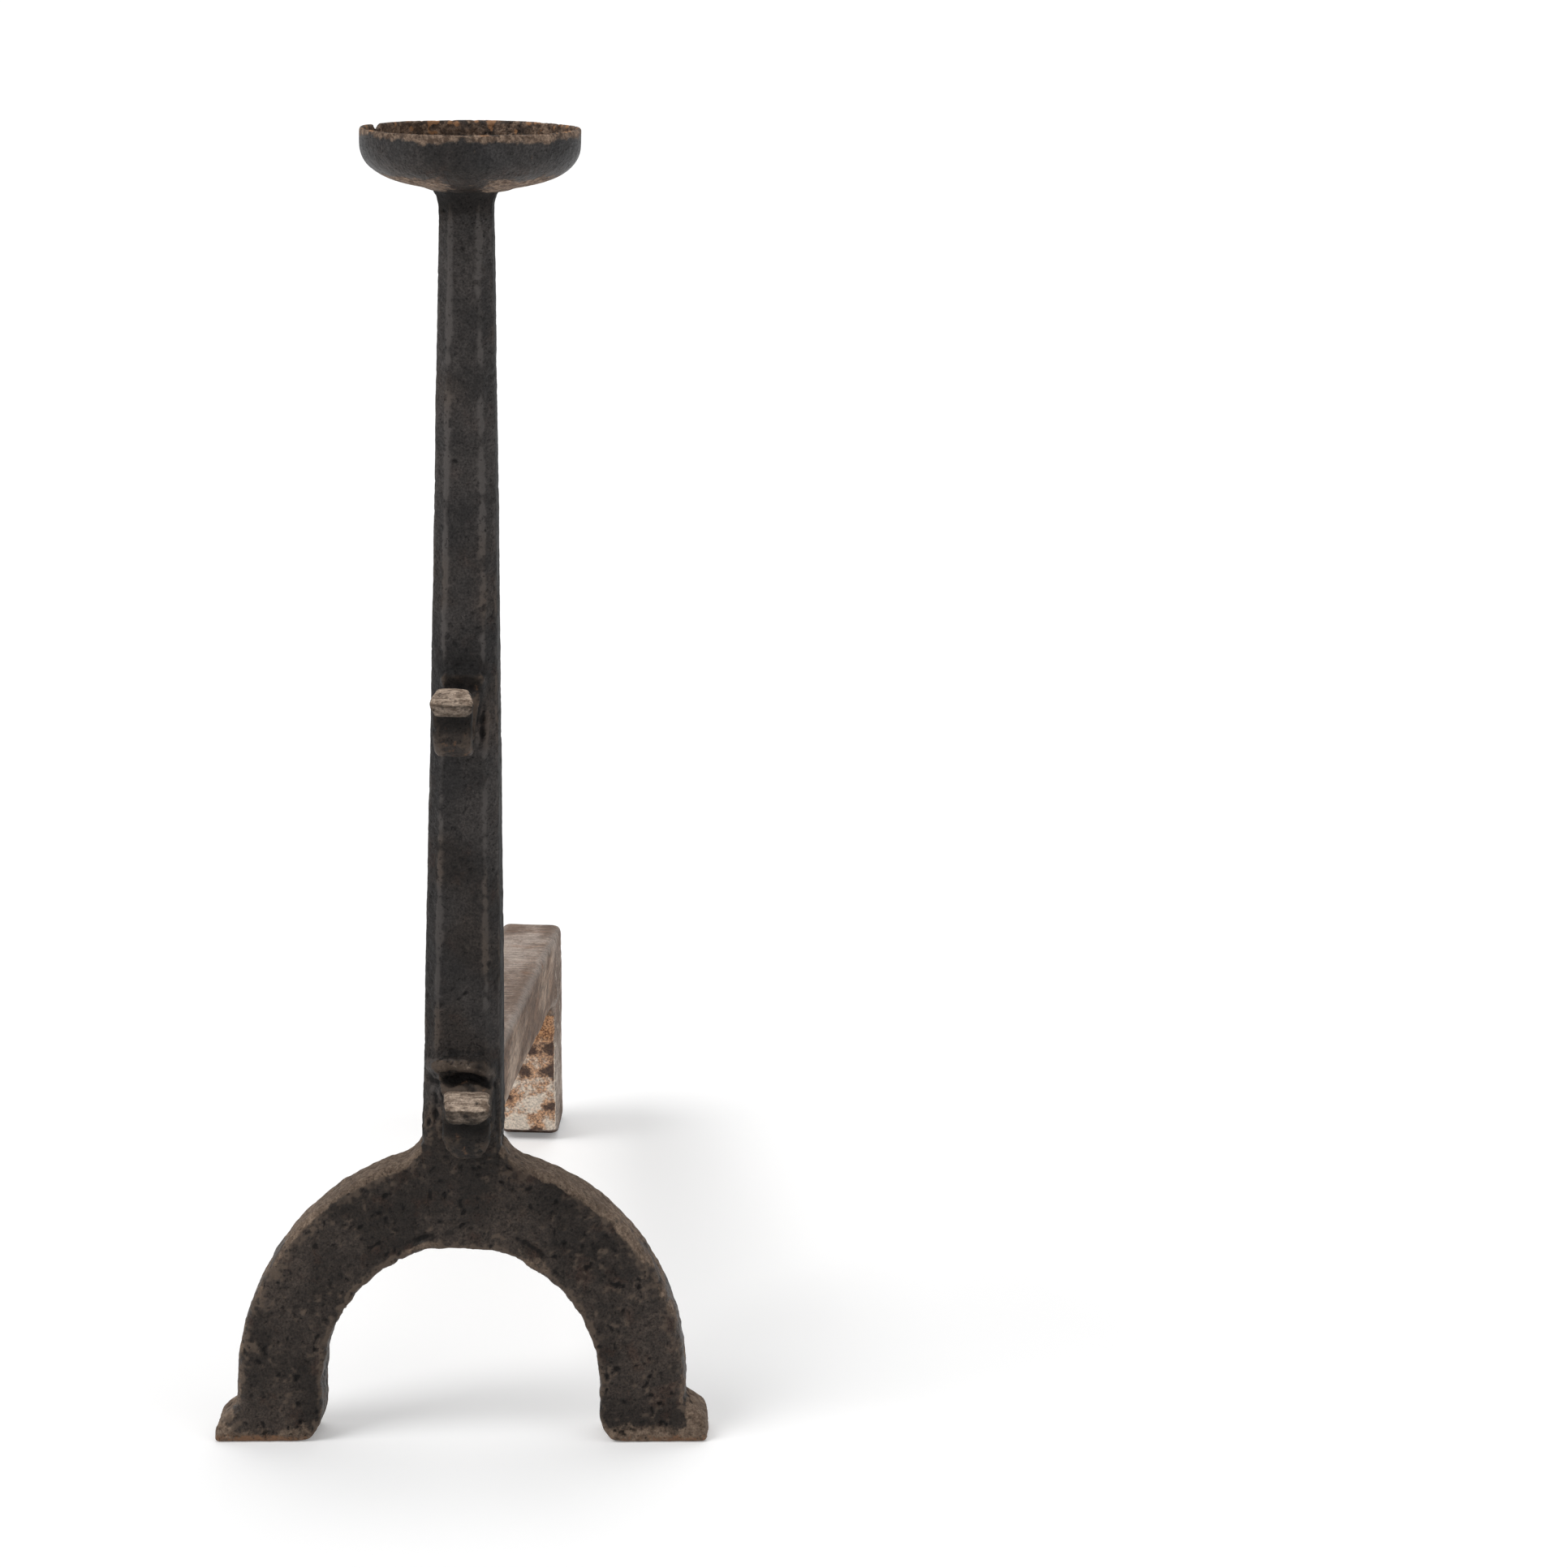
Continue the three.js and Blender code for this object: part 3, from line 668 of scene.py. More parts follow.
# %% Push the joints together
JOINT_GAP = 0.3 * MM
SCARF_PUSH = 6 * MM
HOOK_PUSH = 1.6 * MM
SKIN_VOXEL = 1.0 * MM
HOOKS = {name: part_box(name) for name in ("upper_hook", "lower_hook")}
SCARF_LOW = {-1: LEFT_LEG_HIGH.x, 1: RIGHT_LEG_LOW.x}
SCARF_HIGH = {-1: STANDARD_LOW.x - JOINT_GAP, 1: STANDARD_HIGH.x + JOINT_GAP}


def scarf_plane(side):
    """A point and a normal of the slanted joint between the standard and one leg."""
    low = Vector((SCARF_LOW[side], 0, CROWN * MM))
    high = Vector((SCARF_HIGH[side], 0, SHOULDER * MM))
    normal = (high - low).normalized().cross(Vector((0, 1, 0)))
    return low, normal if normal.x * side > 0 else -normal


def pushed_leg(name, side):
    leg = node_copy(name)
    point, normal = scarf_plane(side)
    for vert in leg.verts:
        if abs((vert.co - point).dot(normal)) < 1.5 * MM and vert.co.z > (CROWN - 3) * MM:
            vert.co -= normal * SCARF_PUSH
    return leg


def pushed_hook(name):
    hook = node_copy(name)
    for vert in hook.verts:
        if vert.co.y > FRONT - 0.4 * MM:
            vert.co.y += HOOK_PUSH
    return hook


def joined(pieces):
    whole = bmesh.new()
    for piece in pieces:
        data = bpy.data.meshes.new("part")
        piece.to_mesh(data)
        piece.free()
        whole.from_mesh(data)
        bpy.data.meshes.remove(data)
    return whole


legs = [pushed_leg("left_leg", -1), pushed_leg("right_leg", 1)]
hooks = [pushed_hook(name) for name in HOOKS]
welded = to_object(joined([node_copy("standard"), *legs, *hooks]), "welded_frame")
remesh(welded, SKIN_VOXEL)
print("welded skin", len(welded.data.vertices), "vertices")

# %% Soften the skin
def near_hooks(made, reach):
    """1 where a hook meets the standard's face, 0 further off than the reach."""
    places = vertex_table(made)
    near = np.zeros(len(places))
    for low, high in HOOKS.values():
        beside = np.maximum(low.x - places[:, 0], places[:, 0] - high.x)
        over = np.maximum(low.z - places[:, 2], places[:, 2] - high.z)
        ahead = FRONT - places[:, 1]
        gap = np.maximum(np.maximum(beside, over), ahead - 2 * MM)
        near = np.maximum(near, (1 - ramp(gap, 0, reach)) * (ahead > -9 * MM))
    return near


def smooth_where(made, share, rounds):
    """Relaxes the skin fully where the share is 1 and not at all where it is 0."""
    places = vertex_table(made)
    set_places(made, places + share[:, None] * (relaxed(made, places, rounds) - places))


set_places(welded, relaxed(welded, vertex_table(welded), 4))

# %% Draw the neck up to the cup
NECK_TOP = (662 * MM, 664 * MM)
NECK_FLARE = (655 * MM, 664 * MM)
NECK_RISE = 1.0 * MM
NECK_SWELL = 1.7

places = vertex_table(welded)
places[:, 2] += NECK_RISE * ramp(places[:, 2], *NECK_TOP) * (places[:, 2] < 666 * MM)
set_places(welded, places)
sideways = 1 - np.abs(vertex_table(welded, "normal")[:, 2])
push(welded, NECK_SWELL * ramp(places[:, 2], *NECK_FLARE) * (places[:, 2] < 667 * MM) * sideways)
print("neck flares from", NECK_FLARE[0], "m")

# %% Dress the welds
smooth_where(welded, near_hooks(welded, 3 * MM), 14)
x, back, z = bench_places(welded)
smooth_where(welded, lump((x, 30), (z - SHOULDER + 20, 30)) * (back < 3), 20)
print("welds dressed at the hooks and at the shoulder")

# %% Spread the lips of the hooks
LIP_FOOT = {"upper_hook": 405, "lower_hook": 192}


def widen_lip(made, name, behind, ahead, chin, aside=0.0):
    """Scales a lip's width where it leaves the limb, at its end, and at its end's lower edge."""
    low, high = HOOKS[name]
    foot = LIP_FOOT[name]
    places = vertex_table(made)
    middle = (low.x + high.x) / 2
    on_lip = (places[:, 2] > low.z + 27 * MM) * (places[:, 2] < high.z - 1 * MM)
    on_lip = on_lip * ramp(FRONT - places[:, 1], 27 * MM, 33 * MM)
    share = ramp(FRONT - places[:, 1], 35 * MM, 49 * MM)
    factor = behind + (ahead - behind) * share
    factor *= 1 + (chin - 1) * share * (1 - ramp(places[:, 2], foot * MM, (foot + 6) * MM))
    places[:, 0] += ((places[:, 0] - middle) * (factor - 1) + aside * MM * share) * on_lip
    set_places(made, places)


widen_lip(welded, "upper_hook", 0.84, 1.19, 0.80, aside=1.8)
widen_lip(welded, "lower_hook", 1.12, 1.34, 0.80)
lip_zone = ramp(FRONT - vertex_table(welded)[:, 1], 30 * MM, 36 * MM)
smooth_where(welded, 0.7 * lip_zone, 7)
print("lips at", *LIP_FOOT.values(), "mm")

# %% [markdown]
# The lower hook was drawn out of a thick pad. Its top edge rolls over the standard as a brow, with a
# deep fold under it. The upper hook's pad is only a low mound. Soft hills and furrows along the
# normals raise both.

# %% Pads of the hooks
places = vertex_table(welded)
x, back, z = bench_places(welded)
front_side = ramp(-vertex_table(welded, "normal")[:, 1], 0.1, 0.5) * ramp(-back, -6, -2)
on_face = front_side * ramp(back, -9, -5)
crumble = 0.8 + 0.9 * waves(places, 6 * MM, 21)
brow = 210.5 - 0.011 * (x + 3) ** 2
fold = brow - 6.8 + 1.2 * np.sin(x / 6.0)
# The lower hook's brow, its fold, the roll below, and the furrows and ridge beside the limb.
shape = 2.4 * lump((z - brow, 3.4), (x, 30)) * (0.85 + 0.4 * waves(places, 12 * MM, 22))
shape -= 4.2 * lump((z - fold, 2.3), (x, 23)) * crumble
shape += 1.5 * lump((z - fold + 6.8, 2.8), (x - 1, 13)) * crumble
shape -= 3.0 * lump((x + 13.5, 2.1), (z - 184, 7.5)) * crumble
shape += 1.6 * lump((x + 9.8, 2.2), (z - 195, 6))
shape -= 1.8 * lump((x - 20, 1.6), (z - 186, 16)) * crumble
# The upper hook's mound, its fold, and the furrow and ridge on its right.
shape += 0.35 * lump((z - 425, 5), (x + 3, 14)) * crumble
shape -= 1.6 * lump((z - 413 + 0.02 * (x - 2) ** 2, 3.4), (x - 2, 11)) * crumble
shape -= 2.4 * lump((x - 11.6 + 0.1 * (392 - z), 1.5), (z - 391, 9)) * crumble
shape += 0.8 * lump((x - 8, 2.0), (z - 404, 5))
push(welded, shape * on_face)
print("pads raised by up to", round(float((shape * on_face).max()), 1), "mm")

# %% [markdown]
# The fires have not treated the andiron alike. The standard is finely pitted, the arch, which stood
# in the embers, coarsely. The arch's inner edge was never dressed and stayed ragged. Each effect is a
# sum of noise fields of different sizes, weighed by where a vertex lies and which way it faces.

# %% Where the skin is rough
ARCH_CENTRE = 32
INNER_HALF_WIDTH = 73.6
INNER_HALF_HEIGHT = CROWN - 31

places = vertex_table(welded)
normals = vertex_table(welded, "normal")
low_part = 1 - ramp(z, 172, 200)
on_hook = np.zeros(len(places))
for low, high in HOOKS.values():
    inside = (z * MM > low.z - 2 * MM) * (z * MM < high.z - 2 * MM) * (back < -3)
    on_hook = np.maximum(on_hook, inside)
rough = np.maximum(low_part, 0.6 * on_hook)
arch_angle = np.arctan2(z - ARCH_CENTRE, x)
outward = normals[:, 0] * np.cos(arch_angle) + normals[:, 2] * np.sin(arch_angle)
inward = -outward
inner_face = ramp(inward, 0.35, 0.8) * (z < CROWN + 4) * (z > 22)
bevel = ramp(outward, 0.22, 0.8) * (z < SHOULDER + 3) * (z > 14) * (1 - inner_face)
print("rough vertices", int((rough > 0.5).sum()))

# %% Hammer waves and pits
forged = (0.35 + 0.2 * low_part) * waves(places, 36 * MM, 1, (1, 1, 1.6))
forged += (0.14 + 0.3 * rough) * waves(places, 10 * MM, 2)
forged += (0.12 + 0.26 * rough) * waves(places, 4.4 * MM, 3)
forged += (0.08 + 0.15 * rough) * waves(places, 2.3 * MM, 8)
forged += 0.8 * inner_face * waves(places, 11 * MM, 9)
forged += 0.5 * inner_face * waves(places, 5 * MM, 10)
eaten = ramp(waves(places, 24 * MM, 4), -0.3, 0.25)
forged -= (0.5 + 0.45 * rough) * eaten * pits(places, 5.5 * MM, 5) * (1 - 0.7 * bevel)
forged -= (0.2 + 0.15 * rough) * pits(places, 3.4 * MM, 6) * (1 - 0.8 * bevel)
forged -= 0.4 * low_part * (1 - eaten) * pits(places, 9 * MM, 7)

# %% Laps of the welds and the left toe's spur
inner_arc = np.sqrt(np.clip(1 - (x / INNER_HALF_WIDTH) ** 2, 0, 1))
over_crown = z - ARCH_CENTRE - INNER_HALF_HEIGHT * inner_arc
left_lap = 0.9 * lump((over_crown - 4.0, 2.4), (x + 18, 14))
left_lap -= lump((over_crown - 8.5, 1.7), (x + 20, 12))
right_lap = 1.1 * lump((over_crown - 5.5, 4.5), (x - 39, 11))
right_lap -= 1.1 * lump((over_crown - 12.5, 1.8), (x - 36, 11))
lap = left_lap + right_lap
spur = 1.5 * lump(((x + 120) * 0.6 - (z - 9) * 0.8, 1.6), ((x + 120) * 0.8 + (z - 9) * 0.6, 6))
forged += (lap * (0.8 + 0.8 * waves(places, 5 * MM, 12)) + spur) * (back < 3) * (normals[:, 1] < -0.4)
sole = 1 - ramp(z, 0.3, 2.5)
push(welded, forged * (1 - sole))
print("forged between", round(float(forged.min()), 1), "and", round(float(forged.max()), 1), "mm")

# %% [markdown]
# Wear is marked by place. Logs and tongs rub the arch's outer bevel, which is also painted lighter
# towards the shoulder where it faces up to the light. Spits rub the lips of the hooks, and a damp
# hearth rusts the soles. Painted shade darkens the standard's flanks, the upper hook's mound, the
# hooks' end faces and the places under their lips. The standard grows darker towards the arch and on
# the neck under the cup, so nothing is bright there.

# %% Brown iron and the hooks' tips
x, back, z = bench_places(welded)
normals = vertex_table(welded, "normal")
places = vertex_table(welded)
drift = waves(places, 30 * MM, 11)
brown = low_part + on_hook + 0.3 + 0.45 * ramp(drift, -0.1, 0.4)
lip = np.zeros(len(places))
end_face = np.zeros(len(places))
for low, high in HOOKS.values():
    tip = ramp(low.y + 20 * MM - places[:, 1], 0, 5 * MM)
    tip *= (z * MM > low.z + 24 * MM) * (z * MM < high.z)
    end_face = np.maximum(end_face, tip * (1 - ramp(normals[:, 2], 0.2, 0.65)))
    lip = np.maximum(lip, tip * (0.5 + 0.55 * ramp(normals[:, 2], 0.2, 0.65)))
    lip = np.maximum(lip, 0.12 * (z * MM > low.z) * (z * MM < high.z) * (back < -20))
tip_zone = np.maximum(end_face, ramp(lip, 0.3, 0.5))
store(welded, "brown", brown)

# %% Rubbed iron
on_right = x > 0
# The bevel's rub is wear, and it grows towards the shoulder, where the up-facing bevel is also painted
# lighter as if lit from above.
bevel *= 0.36 + 0.5 * ramp(z, 70, 145) + 0.25 * drift + 0.4 * waves(places, 9 * MM, 15)
toe = (0.6 + 0.3 * on_right) * (ramp(np.abs(x), 117, 122) * (1 - ramp(z, 20, 27)))
brow_rub = 0.3 * front_side * lump((z - brow, 3.0), (x, 26))
edge_rub = 0.3 * ramp(inward, 0.4, 0.9) * (z < CROWN + 4)
edge_rub += (0.4 + 0.3 * on_right) * (1 - ramp(z, 4, 17))
laps = 0.44 * ramp(lap, 0.15, 0.6) * (back < 3)
rub = np.maximum.reduce([bevel, toe, lip, brow_rub, edge_rub, laps])
dark_neck = ramp(z, 640, 655)
rub *= 1 - dark_neck
store(welded, "rub", rub)
print("rubbed vertices", int((rub > 0.5).sum()))

# %% Rusty iron
rust = (0.6 + 0.3 * drift) * (1 - ramp(z, 1.5, 8)) + 0.3 * ramp(inward, 0.4, 0.9) * (z < 60)
rust += 0.8 * lump((x + 0.1, 1.6), (z - 388.6, 1.9)) * (back < -24)
rust += 0.5 * ramp(z, 668, 670)
rust += 0.38 * on_hook * ramp(waves(places, 6 * MM, 14), 0.0, 0.4) * (1 - tip_zone)
store(welded, "rust", rust)

# %% Painted chamfer highlights, soot and painted shade
calm = relaxed(welded, normals, 8)
# Painted highlight lines along the standard's chamfer edges, strongest high up just below the neck.
chamfer_highlight = lump((np.abs(calm[:, 0]) - 0.32, 0.13)) * (calm[:, 1] < -0.5)
chamfer_highlight *= ramp(z, SHOULDER + 8, SHOULDER + 30)
chamfer_highlight *= 0.25 + 0.5 * ramp(z, 560, 640) * (1 - ramp(z, 652, 660)) + 0.3 * waves(places, 16 * MM, 13)
# Painted shade on the standard's flanks, the side faces that turn away from the camera.
shaded_flank = ramp(np.abs(calm[:, 0]), 0.75, 0.95) * (z > SHOULDER)
# The standard grows darker towards the arch, and the neck just under the cup is darker too.
lower_standard_darkening = (1 - ramp(z, 240, 420)) * (z > CROWN + 20)
neck_darkening = ramp(z, 648, 658) * (z < 666)
soot_and_shade = 0.7 * shaded_flank + 0.22 * lower_standard_darkening + 0.75 * neck_darkening
# Painted shade that dims the upper hook's mound and the ridge right of its limb, where they face the
# light.
mound_shade = np.maximum(lump((z - 422, 8), (x + 2, 20)), 0.7 * lump((x - 10, 4), (z - 398, 14)))
mound_shade *= front_side
soot_and_shade += 0.4 * mound_shade
# Painted shadow under each hook's lip and on the body below it.
for foot in LIP_FOOT.values():
    soot_and_shade += 0.7 * lump((z - foot + 5, 4.5)) * (back < -18) * (normals[:, 1] < 0.2)
    soot_and_shade += 0.3 * lump((z - foot + 14, 9)) * (back < -6) * on_hook
# The hooks' end faces get painted shade as well.
store(welded, "soot_and_shade", soot_and_shade + 0.56 * end_face)
mark_wear(welded, rounds=18, spare=np.maximum(dark_neck, 0.95 * mound_shade), painted_highlight_lines=2.0 * chamfer_highlight)
print("sooty vertices", int((soot_and_shade > 0.5).sum()))

# %% [markdown]
# Now the one skin is parted along the real joints. Cutting with a plane leaves an open rim, which a
# flat face closes. A slanted cut can also leave crumbs of skin behind, which are swept away.

# %% Cutting helpers
SEAM = FRONT - 1.0 * MM


def cut(piece, point, normal, geometry=None):
    """Keeps what lies on the side that the normal shows, and closes the cut with a flat face."""
    result = bmesh.ops.bisect_plane(
        piece,
        geom=geometry or piece.verts[:] + piece.edges[:] + piece.faces[:],
        plane_co=point,
        plane_no=normal,
        clear_inner=True,
    )
    rim = [e for e in result["geom_cut"] if isinstance(e, bmesh.types.BMEdge)]
    cap = bmesh.ops.triangle_fill(piece, use_beauty=True, use_dissolve=False, edges=rim)
    for item in cap["geom"]:
        if isinstance(item, bmesh.types.BMFace):
            item.smooth = False


def skin_copy():
    """A smooth-shaded copy of the forged skin."""
    piece = bmesh.new()
    piece.from_mesh(welded.data)
    for face in piece.faces:
        face.smooth = True
    return piece


def without_crumbs(piece):
    """Keeps the largest shell, and drops the crumbs left where the skin only grazes a cut."""
    seen = set()
    shells = []
    for start in piece.verts:
        if start in seen:
            continue
        seen.add(start)
        shell = [start]
        for vert in shell:
            for edge in vert.link_edges:
                other = edge.other_vert(vert)
                if other not in seen:
                    seen.add(other)
                    shell.append(other)
        shells.append(shell)
    shells.sort(key=len)
    crumbs = [vert for shell in shells[:-1] for vert in shell]
    bmesh.ops.delete(piece, geom=crumbs, context="VERTS")
    return piece


def around_hook(piece, low, high, margin=4 * MM):
    """The skin round one hook, from just behind the seam to its lip."""
    return {
        v for v in piece.verts
        if low.z - margin < v.co.z < high.z + margin
        and low.x - margin < v.co.x < high.x + margin
        and v.co.y < FRONT + 1.2 * MM
    }


# %% Part the bars again
def hook_piece(name):
    piece = skin_copy()
    near = around_hook(piece, *HOOKS[name])
    bmesh.ops.delete(piece, geom=[v for v in piece.verts if v not in near], context="VERTS")
    cut(piece, (0, SEAM, 0), (0, -1, 0))
    return to_object(without_crumbs(piece), name + "_bar")


def standard_piece():
    piece = skin_copy()
    for side in (-1, 1):
        point, normal = scarf_plane(side)
        cut(piece, point, -normal)
    for low, high in HOOKS.values():
        near = around_hook(piece, low, high)
        faces = [f for f in piece.faces if all(v in near for v in f.verts)]
        # dict.fromkeys drops the doubles and keeps the order, so that each run cuts alike.
        edges = dict.fromkeys(e for f in faces for e in f.edges)
        verts = dict.fromkeys(v for f in faces for v in f.verts)
        cut(piece, (0, SEAM, 0), (0, 1, 0), [*verts, *edges, *faces])
    return to_object(without_crumbs(piece), "standard_bar")


def leg_piece(name, side):
    piece = skin_copy()
    cut(piece, *scarf_plane(side))
    return to_object(without_crumbs(piece), name + "_bar")


finish_piece(leg_piece("left_leg", -1), BLACK_IRON, "black_iron", "left_leg")
finish_piece(leg_piece("right_leg", 1), BLACK_IRON, "black_iron", "right_leg")
finish_piece(standard_piece(), BLACK_IRON, "black_iron", "standard")
for name in HOOKS:
    finish_piece(hook_piece(name), HOOK_IRON, "worn_iron", name)
bpy.data.objects.remove(welded)

# %% [markdown]
# ## Cup
# The cup was raised from sheet over a stake, so its wall keeps faint hammer facets. Handling has worn
# the rim to brown metal. Inside, rust has come up in orange and white spots. Underneath, the soot has
# flaked off except in front. The nick in the rim is turned a little round the cup's axis, and the
# bottom swells into a collar where it meets the neck.

# %% Turn the nick
NICK_ANGLE = math.radians(149)
NICK_TURN = math.radians(8)
CUP_VOXEL = 0.8 * MM

cup = to_object(node_copy("cup"), "cresset_cup")
remesh(cup, CUP_VOXEL)
set_places(cup, relaxed(cup, vertex_table(cup), 2))
places = vertex_table(cup)
arm = places - np.array(CUP_CENTRE)
off_nick = (np.arctan2(arm[:, 1], arm[:, 0]) - NICK_ANGLE + math.pi) % (2 * math.pi) - math.pi
turn = NICK_TURN * lump((off_nick, 0.5)) * ramp(places[:, 2], CUP_LOW.z + 12 * MM, CUP_LOW.z + 24 * MM)
places[:, 0] = CUP_CENTRE.x + arm[:, 0] * np.cos(turn) - arm[:, 1] * np.sin(turn)
places[:, 1] = CUP_CENTRE.y + arm[:, 0] * np.sin(turn) + arm[:, 1] * np.cos(turn)
set_places(cup, places)
print("nick turned by", round(math.degrees(float(turn.max())), 1), "degrees")

# %% Dent and pit the cup
normals = vertex_table(cup, "normal")
around = places - np.array(CUP_CENTRE)
reach = np.hypot(around[:, 0], around[:, 1]) / MM
height = (places[:, 2] - CUP_LOW.z) / MM
faces_in = -(normals[:, 0] * around[:, 0] + normals[:, 1] * around[:, 1]) / MM / np.maximum(reach, 1)
inside = np.maximum(ramp(faces_in, 0.0, 0.3), ramp(normals[:, 2], 0.5, 0.8)) * (height > 3)
dented = 0.4 * waves(places, 26 * MM, 31) + 0.08 * waves(places, 8 * MM, 32)
dented += 0.05 * waves(places, 3 * MM, 33) - 0.3 * inside * pits(places, 4 * MM, 34)
under = (1 - ramp(height, 4, 11)) * (1 - inside)
dented -= 0.35 * under * pits(places, 4.2 * MM, 35)
collar = lump((reach - 18, 4.5)) * (height < 2) * ramp(reach, 8, 14)
push(cup, dented * ramp(reach, 12, 22) + 1.4 * collar)

# %% Wear of the cup
def all_smooth(made):
    made.data.polygons.foreach_set("use_smooth", [True] * len(made.data.polygons))


places = vertex_table(cup)
rim = ramp(height, 23.5, 28.5) + 0.55 * waves(places, 14 * MM, 36)
rim_line = ramp(height, 28.2, 29.4)
front_soot = lump((around[:, 0] / MM, 10)) * (around[:, 1] < 0)
flaked = under * (1 - 0.9 * front_soot) * ramp(reach, 16, 20)
cup_rub = np.maximum(0.72 * rim * ramp(height, 20, 25), 0.75 * flaked)
cup_rub = np.maximum(cup_rub, rim_line)
specks = pits(places, 3.6 * MM, 38)
cup_brown = 0.15 + 0.6 * inside + 0.5 * waves(places, 30 * MM, 37)
store(cup, "brown", cup_brown + 0.7 * (1 - ramp(height, 6, 18)))
store(cup, "rub", np.where(inside > 0.5, 0.52 + 0.5 * specks, cup_rub))
store(cup, "rust", (0.22 + 0.8 * pits(places, 5.5 * MM, 39)) * inside + 0.12 * rim_line)
# Darker round the foot of the cup, where it meets the neck.
store(cup, "soot_and_shade", 0.7 * lump((reach - 17, 4)) * (1 - ramp(height, 1, 5)) * (1 - inside))
mark_wear(cup, spare=1.0)
all_smooth(cup)
finish_piece(cup, CUP_IRON, "cup_iron", "cup")

# %% [markdown]
# ## Billet bar
# The log bar lay in the fire for years. Heat has burnt its skin to a dry beige scale, drawn into
# fine streaks across its top and along its sides. The front of the rear leg is whitened by ash, with
# orange rust at its borders and dark spots where the scale has burst. The lowest few millimetres of
# the bar get a painted shadow.

# %% Fire scale
TOP_SCALE = ((0.160, 0.108, 0.079), (0.37, 0.297, 0.248))
SIDE_SCALE = ((0.135, 0.080, 0.050), (0.345, 0.245, 0.174))
BURNT_PATCH = (0.235, 0.125, 0.072)
SCALE_EDGE = (0.34, 0.30, 0.27)


def fire_scale(tree, where, upward, proud):
    """Clouded, streaky scale; gives its clouds and streaks too."""
    cloud = map_range(tree, streak_noise(tree, where, (34, 9, 34), 1.7), 0.38, 0.62)
    top = blend_colour(tree, cloud, *TOP_SCALE)
    side = blend_colour(tree, cloud, *SIDE_SCALE)
    colour = blend_colour(tree, upward, side, top)
    across = streak_noise(tree, where, (70, 480, 480), 3.1)
    along = streak_noise(tree, where, (420, 60, 420), 5.7)
    streak = blend_colour(tree, upward, along, across)
    colour = multiplied(tree, colour, map_range(tree, streak, 0.34, 0.66, 0.58, 1.4))
    warm = use_group(tree, PATCHES, Where=where, Scale=26.0, Cover=0.44, Soft=0.12)["Mask"]
    colour = lay_over(tree, colour, warm, 0.65, BURNT_PATCH)
    edge = map_range(tree, proud, 0.2, 0.9, 0.0, 0.5)
    return blend_colour(tree, edge, colour, SCALE_EDGE), cloud, streak


# %% Scaled iron recipe
ASH_WHITE = (0.78, 0.68, 0.57)
FRESH_RUST = ((0.20, 0.08, 0.035), (0.58, 0.30, 0.14))
BURST_AND_SHADOW_BROWN = (0.052, 0.027, 0.020)
CRACK_AND_SHADE_BROWN = (0.045, 0.032, 0.025)


def scaled_material(name):
    material, tree, shader, where = new_material(name)
    upward, ash, rust = (attribute(tree, label) for label in ("upward", "ash", "rust"))
    burst_and_shadow, proud, sunk = (attribute(tree, label) for label in ("burst_and_shadow", "proud", "sunk"))

    colour, cloud, streak = fire_scale(tree, where, upward, proud)
    fine = map_range(tree, noise_of(tree, where, 700, 3, 0.7), 0.3, 0.7, 0.68, 1.3)
    colour = lay_over(tree, colour, gnawed(tree, where, ash, 0.6, 120.0), 0.92, ASH_WHITE)
    rust_tone = blend_colour(tree, map_range(tree, fine, 0.75, 1.2), *FRESH_RUST)
    colour = lay_over(tree, colour, gnawed(tree, where, rust, 0.6, 230.0), 0.85, rust_tone)
    colour = lay_over(tree, colour, gnawed(tree, where, burst_and_shadow, 0.55, 190.0), 0.93, BURST_AND_SHADOW_BROWN)
    colour = multiplied(tree, colour, fine)
    pores = use_group(tree, PORES, Where=where, Scale=300.0, Cover=0.5)
    # Dark pores, and painted shade where the scale is sunk.
    pits_and_hollow_shade = map_range(tree, sunk, 0.15, 0.9, 0.0, 0.75)
    dark = maths(tree, "MAXIMUM", maths(tree, "MULTIPLY", pores["Mask"], 0.35), pits_and_hollow_shade)
    feed(tree, shader.inputs["Base Color"], blend_colour(tree, dark, colour, CRACK_AND_SHADE_BROWN))

    shader.inputs["Metallic"].default_value = 0.0
    feed(tree, shader.inputs["Roughness"], map_range(tree, cloud, 0.0, 1.0, 0.88, 0.74))
    relief = maths(tree, "ADD", pores["Height"], maths(tree, "MULTIPLY", streak, 1.2))
    raise_relief(tree, shader, relief, 0.6, 0.3 * MM)
    return material


SCALED_IRON = scaled_material("fire_scaled_iron")
print("scaled iron", len(SCALED_IRON.node_tree.nodes), "nodes")

# %% Hammer the bar
BAR_VOXEL = 1.2 * MM

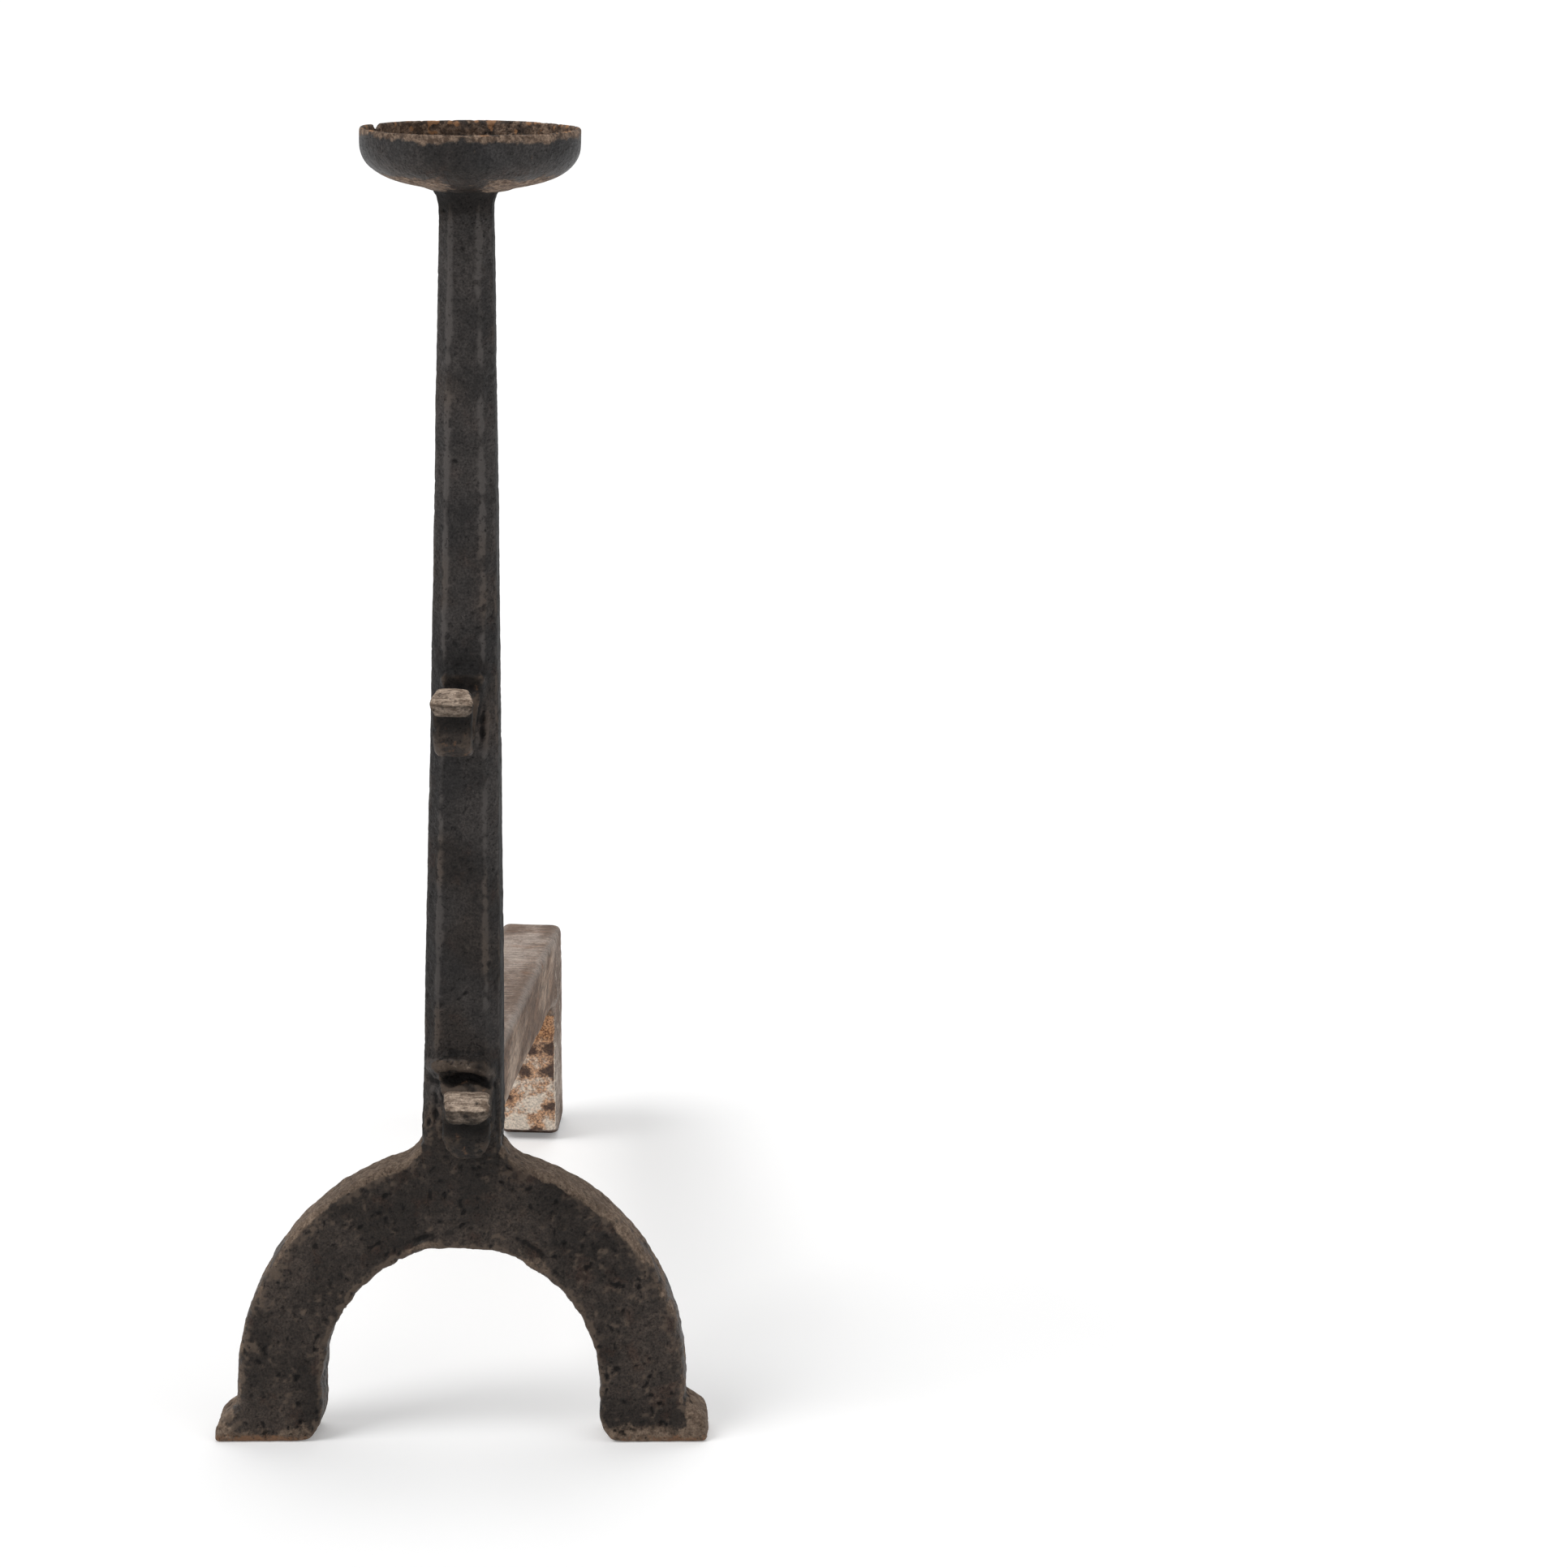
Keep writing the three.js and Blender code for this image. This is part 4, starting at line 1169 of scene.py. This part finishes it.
bar = to_object(node_copy("billet_bar"), "log_bar")
remesh(bar, BAR_VOXEL)
set_places(bar, relaxed(bar, vertex_table(bar), 4))
places = vertex_table(bar)
x, back, z = bench_places(bar)
wide = 0.7 * waves(places, 42 * MM, 41, (1, 2, 1))
middling = 0.25 * waves(places, 12 * MM, 42, (1.5, 4, 1))
small = 0.14 * waves(places, 5 * MM, 43, (2.5, 2.5, 1))
tiny = 0.08 * waves(places, 2.6 * MM, 44, (1, 3, 1))
hammered = (wide + middling) + (small + tiny)
hammered -= 0.5 * ramp(waves(places, 30 * MM, 45), -0.1, 0.3) * pits(places, 6 * MM, 46)
hammered += 2.2 * lump((back - 482, 5), (z - 107, 6)) * (x > 15)
hammered += 1.4 * lump((back - 558, 4), (x + 5, 4)) * (z > 120)
push(bar, hammered * ramp(back, 44, 60) * ramp(z, 0.3, 2.5))

# %% Round the edge of the foot
FOOT_BACK = 4 * MM
FOOT_RISE = 5 * MM

places = vertex_table(bar)
foot_edge = (1 - ramp(z, 0, 8)) * lump((back - 511, 9))
places[:, 1] += FOOT_BACK * foot_edge
places[:, 2] += FOOT_RISE * foot_edge
set_places(bar, places)
print("foot's front edge raised by", round(float(foot_edge.max()) * FOOT_RISE, 4), "m")

# %% [markdown]
# The fire's marks are placed where the real leg has them: a few burst spots, a rusty border
# and root, and ash between. The bar's far right side catches ash too.

# %% Marks of the fire
SCORCH_MARKS = (
    (14, 68, 6.5),
    (3, 67, 5),
    (-1, 50, 7.5),
    (14, 51, 6),
    (-12, 31, 5.5),
    (13.5, 25, 5),
    (6, 8, 4),
)
LEG_ROOT = 92
normals = vertex_table(bar, "normal")
places = vertex_table(bar)
x, back, z = bench_places(bar)
leg_front = ramp(-normals[:, 1], 0.5, 0.85) * (back > 380) * (z < LEG_ROOT)
drift = waves(places, 13 * MM, 47)
burst = sum(lump((x - cx, size), (z - cz, size)) for cx, cz, size in SCORCH_MARKS)
border = ramp(np.abs(x), 13, 18) + 1 - ramp(z, 2, 8)
root = ramp(z, 66, 78)
right_strip = 0.9 * ramp(normals[:, 0], 0.35, 0.8) * ramp(back, 440, 490)
store(bar, "upward", np.maximum(ramp(normals[:, 2], 0.35, 0.75), right_strip))
store(bar, "ash", leg_front * (1.0 - 0.6 * root) + 0.42 * right_strip)
store(bar, "rust", leg_front * (0.3 + 0.6 * root + 0.6 * burst + 0.3 * border + 0.5 * drift) + 0.15)
# Burst spots and dark borders on the leg, and a painted shadow along the bar's bottom.
store(bar, "burst_and_shadow", leg_front * (0.95 * burst + 0.35 * border) + 0.75 * (1 - ramp(z, 5, 10)))
mark_wear(bar, rounds=12)
all_smooth(bar)
finish_piece(bar, SCALED_IRON, "fire_scaled_iron", "billet_bar")
